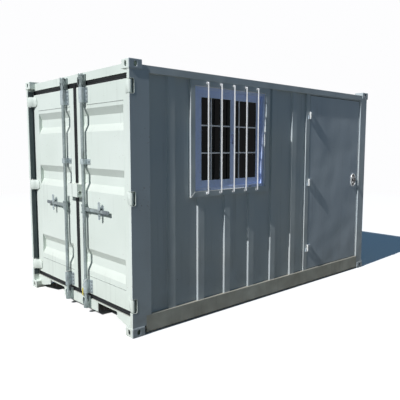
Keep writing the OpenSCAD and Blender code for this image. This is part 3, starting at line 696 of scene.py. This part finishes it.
def add_pairs(*rows):
    """Pieces of the near door, then their mirror images on the far door; node is what they replace."""
    for side in ("near", "far"):
        for name, shapes, body, material, slot, node in rows:
            made = shapes if side == "near" else [mirrored(shape) for shape in shapes]
            piece = add_piece(f"{name}_{side}", made, f"{side}_{body}", material)
            if node:
                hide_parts(f"{node}_{side}")


# %% Places in millimetres
frame_low, frame_high = corners("corner_castings")
origin = np.array([frame_low[0], frame_low[1], 0])


def at(d, s, z):
    """A place from millimetres behind the door end, in from the window side and up."""
    return origin + np.array([d, s, z]) / 1000


def block(lo, hi, edge):
    """A box between two places (d, s, z) with rounded edges, all in millimetres."""
    return rounded_box(at(*lo), at(*hi), edge / 1000)


def measured(node):
    """A node's box as the same millimetres: low and high (d, s, z)."""
    return [(corner - origin) * 1000 for corner in corners(node)]


print("door end at x =", round(frame_low[0], 3), "window side at y =", round(frame_low[1], 3))

# %% [markdown]
# ## Door seals
# Each cargo leaf carries a rubber frame with two soft lips and a groove between them. A
# ring like this is a loft between two rectangles, the leaf's edge and the frame's, so
# all four corners come out mitred even though the four sides differ in width. A flat lip
# on the meeting stiles closes the seam, above and below the lock box.


# %% Door seals
def framed(inner, outer, profile, depth, looks="door end"):
    """Between rectangle A inside and B outside: A + u (B - A), pushed in by depth + v."""
    (a0, a1), (b0, b1) = inner, outer
    rows = []
    for i, k in ((0, 0), (1, 0), (1, 1), (0, 1)):
        near = np.array([(a0, a1)[i][0], (a0, a1)[k][1]])
        far = np.array([(b0, b1)[i][0], (b0, b1)[k][1]])
        rows.append([near + u * (far - near) for u, v in profile])
    across, rise = np.moveaxis(np.array(rows), -1, 0)
    depths = np.broadcast_to([depth + v for u, v in profile], rise.shape)
    order = (depths, across, rise) if looks == "door end" else (across, depths, rise)
    return surface(np.stack(order, -1) / 1000 + origin, closed=True)


def grown(rectangle, by):
    """A rectangle, given as its low and high corner, made larger on every side."""
    (a0, b0), (a1, b1) = rectangle
    return (a0 - by, b0 - by), (a1 + by, b1 + by)


leaf_face = 60
seam_gap, lip_thick, lip_overlap, lip_stop = 1.5, 3.5, 16, 3
leaf_low, leaf_high = measured("leaf_frame_near")
seal_low, seal_high = measured("leaf_seal_near")
lock_low, lock_high = measured("lock_box_near")
leaf_outline = (leaf_low[1:], leaf_high[1:])
middle = (frame_high[1] - frame_low[1]) * 500
seal_profile = [(0.0, 3), (0.06, 1), (0.2, 0), (0.36, 1.5), (0.44, 5), (0.52, 5), (0.6, 1.5),
                (0.78, 0), (0.94, 1), (1.0, 3), (1.0, 34), (0.9, 38), (0.1, 38), (0.0, 34)]
ring = framed(leaf_outline, (seal_low[1:], seal_high[1:]), seal_profile, seal_low[0])
lip_heights = ((leaf_low[2], lock_low[2] - lip_stop), (lock_high[2] + lip_stop, leaf_high[2]))
lip_start = leaf_high[1] - lip_overlap
lips = [block((leaf_face - lip_thick, lip_start, z0), (leaf_face, middle - seam_gap, z1), 1.5)
        for z0, z1 in lip_heights]
add_pairs(("seal", [ring] + lips, "leaf", seal_rubber, "seal", "leaf_seal"))

# %% [markdown]
# ## Strips on the hinge posts
# The inner face of each hinge post lies in deep shade, and a dark ribbed strip on it, which
# stops short of every hinge, paints that shade. One section is carried upwards from stop to
# stop, so the gaps are simply the places where no strip is made.

# %% Strips on the hinge posts
strap_half, notch_half = 51, 58
strip_foot, strip_head = 140, 2102
strip_d, post_face = 35, 41
blade_low, blade_high = measured("hinge_blades_near")
hinge_middles = [blade_low[2] + strap_half, (leaf_low[2] + leaf_high[2]) / 2 + 3, blade_high[2] - strap_half]
stops = [strip_foot] + [z + k * notch_half for z in hinge_middles for k in (-1, 1)] + [strip_head]
strip_profile = [(-27, 0), (-27, 2), (-23, 3.5), (-6, 3.5), (-2, 2),
                 (2, 2), (6, 3.5), (23, 3.5), (27, 2), (27, 0)]
strips = [carried(strip_profile, [at(strip_d, post_face, z0), at(strip_d, post_face, z1)], (0, 1, 0))
          for z0, z1 in zip(stops[::2], stops[1::2])]
add_piece("post_strip_near", strips, "shell", post_shade_strip)
add_piece("post_strip_far", [mirrored(strip) for strip in strips], "shell", post_shade_strip)

# %% [markdown]
# ## Hinge straps
# A container hinge is a forged strap: an eye round the pin, then a bar that steps back
# onto the leaf and ends in a rounded foot. The strap is one section carried along a
# curved line, with its height shrinking at the foot, and the eye is a turned barrel. The
# notch that the post has for each hinge gets a thin rim, where its cut edge shows bright.

# %% Hinge straps
strap_line = np.array([(15, 21), (14.5, 34), (15, 50), (18, 62), (26, 74), (38, 85), (48, 94),
                       (53, 106), (55, 120), (56, 138), (56, 148), (56, 150)], float)
strap_height = np.array([50, 50.5, 50.5, 50.5, 50.5, 50.5, 50.5, 50.5, 48, 40, 31, 27], float)
strap_section = np.array([(-1, -0.96), (-0.6, -1), (0.6, -1), (1, -0.96),
                          (1, 0.96), (0.6, 1), (-0.6, 1), (-1, 0.96)])


def strap(z, half_thick=4):
    """Centre line plus half thickness across and half height up: p + n t cos + up h sin."""
    along = np.gradient(strap_line, axis=0)
    out = np.stack([-along[:, 1], along[:, 0]], 1) / np.linalg.norm(along, axis=1)[:, None]
    plan = strap_line[:, None] + out[:, None] * strap_section[None, :, :1] * half_thick
    rise = z + strap_height[:, None] * strap_section[None, :, 1]
    return surface(np.concatenate([plan, rise[..., None]], -1) / 1000 + origin)


pin_d, pin_s = 20, 21
eye_profile = [(0, -51), (12, -51), (14.6, -48.5), (15, -46), (15, 46), (14.6, 48.5), (12, 51), (0, 51)]
eyes = copies(turned(eye_profile, "z", 24), [at(pin_d, pin_s, z) for z in hinge_middles])
straps = [strap(z) for z in hinge_middles] + [eyes]
add_pairs(("hinge_straps", straps, "leaf", end_paint, "end_paint", "hinge_blades"))

# %% Notch rims
notch_line = [(8, 57), (38, 57), (45, 54), (49, 47), (49, -47), (45, -54), (38, -57), (8, -57)]
rim_section = [(-2, -4), (-2, 0), (-1, 1.2), (1, 1.2), (2, 0), (2, -4)]
post_low, post_high = measured("door_post_near")
notch_paths = [[at(d, post_low[1], z + k) for d, k in notch_line] for z in hinge_middles]
notch_rims = [carried(rim_section, path, (0, -1, 0)) for path in notch_paths]
add_piece("notch_rims", with_mirror(notch_rims), "shell", end_paint)

# %% [markdown]
# ## Plates bent and cut for the lock rods
# Lock rod fittings are small forged and pressed shapes: strips bent round the rod, tabs
# with an eye, and plates cut to an outline. Each gets one function that is set out from
# the rod's own axis, which comes from its joint.

# %% Bent strips, tabs and cut plates
rod_d, rod_s = (joint_at("near_rod_turn") - frame_low)[:2] * 1000


def hoop(radius, width, thick, z, turn=1.9):
    """A strip bent round the rod: middle + radius (-cos a, sin a) for a in -turn..turn."""
    angle = np.linspace(-turn, turn, 25)
    path = [at(rod_d - radius * math.cos(a), rod_s + radius * math.sin(a), z) for a in angle]
    section = np.array([(-thick, -width), (thick, -width), (thick, width), (-thick, width)]) / 2
    return carried(section, path, (0, 0, 1))


def tab(d, s, z, width, height, thick, hole):
    """An upright tab with round ends and an eye: outer and hole outline joined as a ring."""
    angle = np.linspace(0, 2 * math.pi, 33)[:-1]
    lift = np.where(np.sin(angle) >= 0, height - width / 2, 0)
    outer = np.stack([width / 2 * np.cos(angle), lift + width / 2 * np.sin(angle)], 1)
    inner = np.stack([hole * np.cos(angle), height - width / 2 + hole * np.sin(angle)], 1)
    rows = [(inner, 0), (outer * 0.97, 0), (outer, 0.15), (outer, 0.85), (outer * 0.97, 1), (inner, 1)]
    grid = np.array([[at(d + depth * thick, s + a, z + b) for a, b in line] for line, depth in rows])
    return surface(grid, closed=True)


def slab_of(outline, s0, s1, edge=1.5):
    """A flat outline (d, z) given a thickness from s0 to s1 with softened rims."""
    outline = np.array(outline, float)
    centre = outline.mean(0)
    inner = centre + (outline - centre) * (1 - 2 * edge / np.ptp(outline, axis=0).max())
    rows = [(inner, s0), (outline, s0 + edge), (outline, s1 - edge), (inner, s1)]
    return surface(np.array([[at(d, s, z) for d, z in line] for line, s in rows]))


print("near rod's axis at", rod_d.round(1), "behind the end and", rod_s.round(1), "in from the side")

# %% [markdown]
# ## Cams and their keepers
# At both ends a rod ends in a forged cam that closes into a keeper on the header or the
# sill: two cheeks with a hooked nose, a plate between them and a boss that the cam bears
# on. The cam belongs to the rod and turns with it, and the keeper stays on the frame.


# %% Cams and keepers
def cam(z0, z1, reach, waist):
    """A cam round the rod: radius waist + (reach - waist) cos(a)^4 between two heights."""
    angle = np.linspace(0, 2 * math.pi, 41)[:-1] + 0.5
    radius = waist + (reach - waist) * np.cos(angle - 0.5) ** 4
    rows = [(0.9, z0), (1.0, z0 + 2), (1.0, z1 - 2), (0.9, z1)]
    grid = [[at(rod_d + k * r * math.sin(a), rod_s + k * r * math.cos(a), z) for r, a in zip(radius, angle)]
            for k, z in rows]
    return surface(np.array(grid))


def keeper(z0, z1):
    """Two cheeks with a hooked nose each, from height z0 to z1 on the door frame."""
    cheek = [(59, 0), (40, 0), (26, 0.08), (16, 0.3), (13.5, 0.55), (17, 0.78), (25, 0.8), (29, 0.62),
             (36, 0.62), (42, 0.9), (48, 1), (59, 1)]
    outline = [(d, z0 + k * (z1 - z0)) for d, k in cheek]
    return [slab_of(outline, rod_s - 34, rod_s - 26), slab_of(outline, rod_s + 40, rod_s + 48)]


def back_plate(z0, z1):
    """The plate between the cheeks, with a rounded boss that the cam closes against."""
    plate = block((leaf_face - 4.5, rod_s - 27, z0 + 1), (leaf_face, rod_s + 41, z1 - 1), 1.8)
    return [plate, block((49, rod_s + 24, z0 + 8), (58, rod_s + 40, z1 - 8), 4)]


# The fittings on the leaves get a paler zinc than the rod: painted sunlight, as those fittings stand in the
# sun.
sunlit_zinc = zinc("sunlit_zinc", linear(198, 209, 211), linear(132, 144, 148), 0.45)
# Dark zinc: the bolts' own darker zinc, and painted shade where it covers the keeper plates and handle
# grips.
dark_zinc_and_shade = zinc("dark_zinc_and_shade", linear(132, 142, 146), linear(92, 100, 104), 0.5)
keep_low, keep_high = measured("rod_keepers")
sill_top, header_foot = measured("door_sill")[1][2], measured("door_header")[0][2]
keeper_spans = [(keep_low[2], sill_top - 12), (header_foot + 4, keep_high[2])]
keepers, plates = [], []
for span in keeper_spans:
    keepers += keeper(*span)
    plates += back_plate(*span)
piece = add_piece("cam_keepers", with_mirror(keepers), "shell", galvanised)
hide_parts("rod_keepers")
# The plates between the keeper cheeks are dark zinc: painted shade in the gap between the cheeks.
add_piece("keeper_plates", with_mirror(plates), "shell", dark_zinc_and_shade)

# %% [markdown]
# ## Brackets, bolts and handles
# The rods run in saddle brackets held by carriage bolts. Each handle hangs from a riveted
# hub on the rod and is caught by a hasp on the leaf: a tab with an eye above the bar, a
# smaller one below it and a base plate. Brackets, hasp and bolts ride on the leaf, while
# hub, grip and cams ride on the rod, so that a handle can turn out of its catch.

# %% Brackets and bolts
handle_z, guide_z = 971, 1397
catch_s = rod_s - 274
fitting_face = leaf_face - 6
bracket_reach, bracket_rim, bolt_inset = 21, 15, 14
guide_wide = 80
brackets = [(leaf_high[2] - 79, 52, 58), (leaf_low[2] + 71, 48, 72)]


def saddle(z, tall, wide, reach=bracket_reach):
    """A folded strap bolted through its two wings: plate, two cheeks and a bend round the rod."""
    plate = block((fitting_face, rod_s - wide, z - tall), (leaf_face, rod_s + wide, z + tall), 2.5)
    cheeks = [block((rod_d, rod_s + k - 3.5, z - tall), (56, rod_s + k + 3.5, z + tall), 1.5)
              for k in (-reach, reach)]
    return [plate, hoop(reach, tall * 2, 7, z, math.pi / 2)] + cheeks


saddles = []
for z, tall, wide in brackets + [(guide_z, 24 - bracket_rim, guide_wide)]:
    saddles += saddle(z, tall + bracket_rim, wide)
bolt_head = turned([(0, 6.5), (3, 6.4), (6, 5.6), (8.4, 3.6), (9.2, 1.2), (9.2, 0), (0, 0)], "x", 12)
hexagon = turned([(0, 7), (6.5, 7), (8, 6), (8, 0), (0, 0)], "x", 6)
bolt_places = [at(fitting_face, rod_s + side * (wide - bolt_inset), z + step) for z, tall, wide in brackets
               for side in (-1, 1) for step in (-tall, -tall / 3, tall / 3, tall)]
bolt_places += [at(fitting_face, rod_s + side * (guide_wide - bolt_inset), guide_z) for side in (-1, 1)]
nut_places = [at(fitting_face, catch_s + side * 14, handle_z + z) for side in (-1, 1) for z in (-22, 16)]
bolts = [copies(bolt_head, bolt_places), copies(hexagon, nut_places)]
print(len(bolt_places), "bolts and", len(nut_places), "nuts on each door")

# %% Hasps, hubs and grips
hasp = [tab(22, catch_s, handle_z + 22, 34, 64, 7, 8), tab(22, catch_s, handle_z - 60, 26, 40, 7, 4),
        block((20, catch_s - 16, handle_z + 27), (56, catch_s + 16, handle_z + 35), 3),
        block((20, catch_s - 14, handle_z - 40), (56, catch_s + 14, handle_z - 33), 3),
        block((fitting_face, catch_s - 24, handle_z - 44), (leaf_face, catch_s + 24, handle_z + 48), 2.5)]
hub_rivets = [at(8.5, rod_s, handle_z + z) for z in (-27, 27)]
hub = [copies(bolt_head, hub_rivets)] + [hoop(24.5, 10, 5, handle_z + z, 3.0) for z in (-35, 35)]
hub += [block((24, rod_s - 74, handle_z - 21), (41, rod_s - 22, handle_z + 21), 6)]
cam_heights = [keep_low[2] + 22, keep_high[2] - 26]
hub += [cam(z - 9, z + 9, 25, 20.5) for z in cam_heights]
hub += [hoop(22.5, 8, 5, z + k, 3.1) for z in cam_heights for k in (-17, 17)]
# The grip end is dark zinc: painted shade, as that end of the handle lies in shade.
grip = [block((25, rod_s - 425, handle_z - 17), (40, rod_s - 320, handle_z + 17), 7)]
add_pairs(("rod_fittings", saddles + hasp, "leaf", sunlit_zinc, "galvanised", "rod_brackets"),
          ("fitting_bolts", bolts, "leaf", dark_zinc_and_shade, "galvanised", None),
          ("handle_grip", grip, "rod", dark_zinc_and_shade, "galvanised", None),
          ("handle_hub", hub, "rod", galvanised, "galvanised", None))

# %% [markdown]
# ## Ties and a tag
# Each lower bracket has a white plastic tie drawn round the rod, left from delivery, and
# a yellow slip hangs beside one of them. A tie is a tilted ring, and one of the two keeps
# its loose end.


# %% Ties and a tag
def tie(rise, tilt):
    """A tilted ring round the rod: height rises by tilt times the distance along s."""
    angle = np.linspace(0, 2 * math.pi, 33)[:-1]
    ring_d, ring_s = rod_d - 26 * np.cos(angle), 33 * np.sin(angle)
    path = [at(d, rod_s + s, leaf_low[2] + 138 + rise + tilt * s) for d, s in zip(ring_d, ring_s)]
    return carried([(-1.6, -3), (1.6, -3), (1.6, 3), (-1.6, 3)], path, (0, 0, 1), closed=True)


loose_path = [at(8, rod_s + 32, 244), at(5, rod_s + 42, 224), at(8, rod_s + 48, 200)]
loose = carried([(-2.5, -1), (2.5, -1), (2.5, 1), (-2.5, 1)], loose_path, (1, 0, 0))
add_piece("tie_near", [tie(-34, -1.3), loose], "near_leaf", white_plastic)
add_piece("tie_far", [mirrored(tie(2, 0.35))], "far_leaf", white_plastic)
slip = block((48, rod_s + 98, 134), (51, rod_s + 118, 206), 1.2)
add_piece("yellow_slip", [slip], "near_leaf", yellow_plastic)

# %% [markdown]
# ## Weld beads
# Plates meet in welds, which show as thin bright ridges. A bead is a small half-round
# profile carried along the joint, with a slow ripple in its size, as a hand-laid weld
# has. A list of joints makes one piece, so each group of plates gets a single one.


# %% Welds on the door posts
def bead(start, end, up, radius=3.5, ripple=0.22):
    """Half-round of size radius (1 + ripple sin) along a line, lifted towards up."""
    start, end, up = (np.array(value, float) for value in (start, end, up))
    count = max(int(np.linalg.norm(end - start) / 0.009), 2)
    path = start + np.linspace(0, 1, count)[:, None] * (end - start)
    across = np.cross(up, end - start)
    across = across / np.linalg.norm(across)
    wave = np.sin(np.arange(count) * 1.9) + 0.5 * np.sin(np.arange(count) * 0.73)
    size = radius / 1000 * (1 + ripple * wave / 1.5)
    angle = np.linspace(-0.25, math.pi + 0.25, 7)
    around = np.cos(angle)[:, None] * across + np.sin(angle)[:, None] * up
    return surface(path[:, None] + size[:, None, None] * around)


to_window_side, to_door_end = (0, -1, 0), (-1, 0, 0)
length = (frame_high[0] - frame_low[0]) * 1000
casting_joints = (post_low[2], post_high[2])
door_beads = []
for z in casting_joints:
    door_beads.append(bead(at(5, 7, z), at(5, 40, z), to_door_end))
    door_beads.append(bead(at(7, 5, z), at(118, 5, z), to_window_side))
add_piece("welds_door_posts", with_mirror(door_beads), "shell", corner_paint)

# %% Welds along the sides
rail_foot = measured("top_side_rails")[0][2] + 1
under_rail = (0, -0.8, -0.6)
surround_low, surround_high = measured("window_surround")
opening_low, opening_high = measured("window_frame")
face = surround_low[1]
doorway = measured("walk_in_frame")[0][0]
side_beads = [bead(at(190, 11, rail_foot), at(doorway, 11, rail_foot), under_rail),
              mirrored(bead(at(190, 11, rail_foot), at(length - 150, 11, rail_foot), under_rail))]
side_beads += with_mirror([bead(at(length - 118, 5, z), at(length - 7, 5, z), to_window_side)
                           for z in casting_joints])
fold, hole = np.array([surround_low, surround_high]), np.array([opening_low, opening_high])
side_beads += [bead(at(fold[i, 0], face, fold[k, 2]), at(hole[i, 0], face, hole[k, 2]), to_window_side, 2.6)
               for i in (0, 1) for k in (0, 1)]
add_piece("welds_side", side_beads, "shell", side_paint)

# %% [markdown]
# ## Joints on the cargo doors
# The pressed panel is welded into its frame down both sides, and sealed with a line of
# caulk above and below, whose grey, darker than the paint, also paints the shade of the seam.
# Two beads hold the lock box, which has a raised collar round the hole for its lock.

# %% Joints on the cargo doors
panel_low, panel_high = measured("leaf_panel_near")
leaf_beads = [bead(at(60.2, s, panel_low[2]), at(60.2, s, panel_high[2]), to_door_end, 1.6, 0.1)
              for s in (panel_low[1], panel_high[1])]
box_side, box_top = lock_low[1] - 0.5, lock_high[2] + 0.5
leaf_beads.append(bead(at(59, box_side, lock_low[2]), at(59, box_side, lock_high[2]), (-0.6, -0.8, 0), 4))
leaf_beads.append(bead(at(59, lock_low[1], box_top), at(59, lock_high[1], box_top), (-0.6, 0, 0.8), 4))
lock_hole = at(lock_low[0] + 27, lock_low[1], lock_low[2] + 42)
collar = turned([(14, 0), (14, 3), (17, 3.5), (20, 2), (20.5, 0)], "y", 28, closed=True)
leaf_beads.append(copies(collar, [lock_hole]))
caulk_lines = [bead(at(leaf_face, panel_low[1], z), at(leaf_face, panel_high[1], z), to_door_end, 3.2, 0.12)
               for z in (panel_low[2], panel_high[2])]
add_pairs(("welds_leaf", leaf_beads, "leaf", end_paint, "end_paint", None),
          ("caulk_and_seam_shade", caulk_lines, "leaf", caulk_and_seam_shade, "end_paint", None))

# %% [markdown]
# ## Window trim
# Up close a window is its small parts: a black gasket round each pane, the bead of
# sealant where the frame meets the steel, drain covers in the sill, a latch on the
# meeting stile and a collar where each security bar is welded on.

# %% Gaskets and sealant
pane_d, pane_s = (pane_x - frame_low[0]) * 1000, (pane_y - frame_low[1]) * 1000
glass_foot, glass_head = (corner[2] for corner in measured("window_glass"))
gasket_line = [(0, 1.5), (0.5, 0), (1, 1.5), (1, 4.2), (0, 4.2)]
gaskets = []
for d0, d1, s in ((pane_d[0], pane_d[1], pane_s[0]), (pane_d[2], pane_d[3], pane_s[-2])):
    pane = (d0, glass_foot), (d1, glass_head)
    gaskets.append(framed(grown(pane, -5), grown(pane, 0.5), gasket_line, s - 4, "window side"))
add_piece("pane_gaskets", gaskets, "shell", seal_rubber)
opening = (opening_low[0], opening_low[2]), (opening_high[0], opening_high[2])
sealant_line = [(0, 5), (0.5, 3), (1, -1.5), (1, 6)]
sealant = framed(grown(opening, -5), opening, sealant_line, opening_low[1] - 4, "window side")
add_piece("window_sealant", [sealant], "shell", white_plastic)

# %% Bar collars, drain covers and latch
bars_low, bars_high = measured("security_bars")
bar_radius, bar_count = 7, 5
bar_middles = np.linspace(bars_low[0] + bar_radius, bars_high[0] - bar_radius, bar_count)
bar_ends = (bars_low[2] + bar_radius, bars_high[2] - bar_radius)
collar = turned([(0, 0), (12, 0), (12, 1.5), (10, 3.5), (7, 5), (0, 5)], "y", 20)
collars = copies(collar, [at(d, face, z) for d in bar_middles for z in bar_ends])
add_piece("bar_collars", [collars], "shell", bar_steel)
sill_face, drain_z = opening_low[1], opening_low[2] + 12
drains = [block((d - 22, sill_face - 2, drain_z - 3), (d + 22, sill_face + 2, drain_z + 3), 1.5)
          for d in (opening_low[0] + 175, opening_high[0] - 205)]
add_piece("drain_covers", drains, "shell", knob_black)
meeting = (pane_d[1] + pane_d[2]) / 2 + 14
sash_face = measured("window_sashes")[0][1]
latch = [block((meeting - 11, sash_face - 7, 1560), (meeting + 11, sash_face + 1, 1650), 3),
         block((meeting - 4, sash_face - 15, 1590), (meeting + 4, sash_face - 4, 1640), 3)]
add_piece("sash_latch", latch, "shell", shaded_latch_coat)

# %% [markdown]
# ## The walk-in door's knob
# The knob is a turned profile: neck, shoulder, grip and a slightly hollow face, with ten
# small ridges round the grip for the fingers.

# %% The walk-in door's knob
knob_low, knob_high = measured("walk_in_knob")
knob_d, knob_z = (knob_low[0] + knob_high[0]) / 2, (knob_low[2] + knob_high[2]) / 2
knob_back = knob_high[1]
reach = knob_back - knob_low[1]
knob_profile = [(0, 0), (9, 0), (9, 7), (11, 10), (20, 12), (25, 15), (26, 19), (25.6, 24), (23, 29),
                (19, 32), (12, reach - 0.6), (8, reach - 1.5), (0, reach - 1.8)]
knob = copies(turned(knob_profile, "y", 40), [at(knob_d, knob_back, knob_z)])
ridge_angles = np.arange(10) * 2 * math.pi / 10
ridges = []
for d, z in zip(knob_d + 25.2 * np.cos(ridge_angles), knob_z + 25.2 * np.sin(ridge_angles)):
    ridges.append(block((d - 1.6, knob_back - 25, z - 1.6), (d + 1.6, knob_back - 15, z + 1.6), 1.4))
piece = add_piece("walk_in_grip", [knob] + ridges, "knob", knob_black)
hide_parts("walk_in_knob")
print("knob at", round(knob_d), round(knob_z), "reach", round(reach, 1))

# %% [markdown]
# ## The lock plate
# The oval lock plate has a rolled rim, a black inlay, a keyhole cover and four screws.
# Rim and inlay are ovals of changing width and depth, joined row by row. Dark rubber
# fills the gap between leaf and frame on all four sides of the door.

# %% The lock plate
plate_face = measured("walk_in_lock_plate")[0][1]


def oval(width, height, count=64):
    """The outline of a slot: half circles of radius width / 2 joined by straight sides."""
    angle = np.linspace(0, 2 * math.pi, count, endpoint=False) + math.pi / count
    lift = np.sign(np.sin(angle)) * (height - width) / 2
    return np.stack([width / 2 * np.cos(angle), lift + width / 2 * np.sin(angle)], 1)


def oval_ring(rows):
    """Ovals of given width, height and depth joined into a closed rim round the knob."""
    grid = [[at(knob_d + a, plate_face + depth, knob_z + b) for a, b in oval(wide, tall)]
            for wide, tall, depth in rows]
    return surface(np.array(grid), closed=True)


rim = oval_ring([(92, 154, 3), (92, 154, -3), (88, 150, -5.5), (82, 144, -5.5), (78, 140, -3), (78, 140, 3)])
add_piece("lock_plate_rim", [rim], "walk_in_door", rim_chrome)
cover = oval_ring([(79, 141, 1), (79, 141, -0.8), (60, 122, -1.6), (24, 86, -1.6), (24, 86, 1)])
screw_places = [at(knob_d + a, plate_face, knob_z + b) for a in (-24, 24) for b in (-52, 52)]
screws = copies(turned([(0, 0), (5, 0), (5, 1), (3.4, 2.4), (0, 2.7)], "y", 12), screw_places)
key_cover = turned([(0, 0), (11, 0), (11, 3), (8, 4.5), (5, 4.5), (3, 2), (0, 2)], "y", 24)
key_cover = copies(key_cover, [at(knob_d, plate_face, knob_z - 50)])
add_piece("lock_plate_inlay", [cover, screws, key_cover], "walk_in_door", knob_black)

# %% The walk-in door's gasket
door_low, door_high = measured("walk_in_leaf")
door_outline = (door_low[0], door_low[2]), (door_high[0], door_high[2])
frame_opening = (door_low[0] - 5, door_low[2] - 5), (door_high[0] + 5, door_high[2] + 16)
gap_line = [(0, 2), (0.5, 0), (1, 2), (1, 12), (0, 12)]
gap = framed(grown(door_outline, 0.8), frame_opening, gap_line, 27, "window side")
add_piece("walk_in_gasket", [gap], "shell", seal_rubber)

# %% [markdown]
# ## Inside
# The floor boards are screwed down in rows, and steel strips with rivets hold the seals
# on the backs of the leaves. Both are small things seen only with a door open, so one
# shape of a few faces is repeated at many places.

# %% Floor screws
floor_low, floor_high = measured("plywood_floor")
rows_d = np.linspace(floor_low[0] + 90, floor_high[0] - 90, 11)
rows_s = np.linspace(floor_low[1] + 60, floor_high[1] - 60, 12)
screw_places = [at(d + k, s, floor_high[2]) for d in rows_d for s in rows_s for k in (-14, 14)]
floor_screws = copies(turned([(0, 0), (5.5, 0), (4.5, 0.8), (0, 1.0)], "z", 8), screw_places)
add_piece("floor_screws", [floor_screws], "shell", galvanised)

# %% Seal holders
leaf_back = leaf_high[0]
holder_line = [(0, 0), (0, 3), (1, 3), (1, 0)]
holder = framed(grown(leaf_outline, -26), grown(leaf_outline, -2), holder_line, leaf_back)
rivet_z = np.linspace(leaf_low[2] + 40, leaf_high[2] - 40, 10)
rivet_places = [at(leaf_back + 3, s, z) for s in (leaf_low[1] + 14, leaf_high[1] - 14) for z in rivet_z]
rivets = copies(turned([(0, -2), (2, -1.8), (4, 0), (0, 0)], "x", 8), rivet_places)
add_pairs(("seal_holder", [holder, rivets], "leaf", galvanised, "galvanised", None))
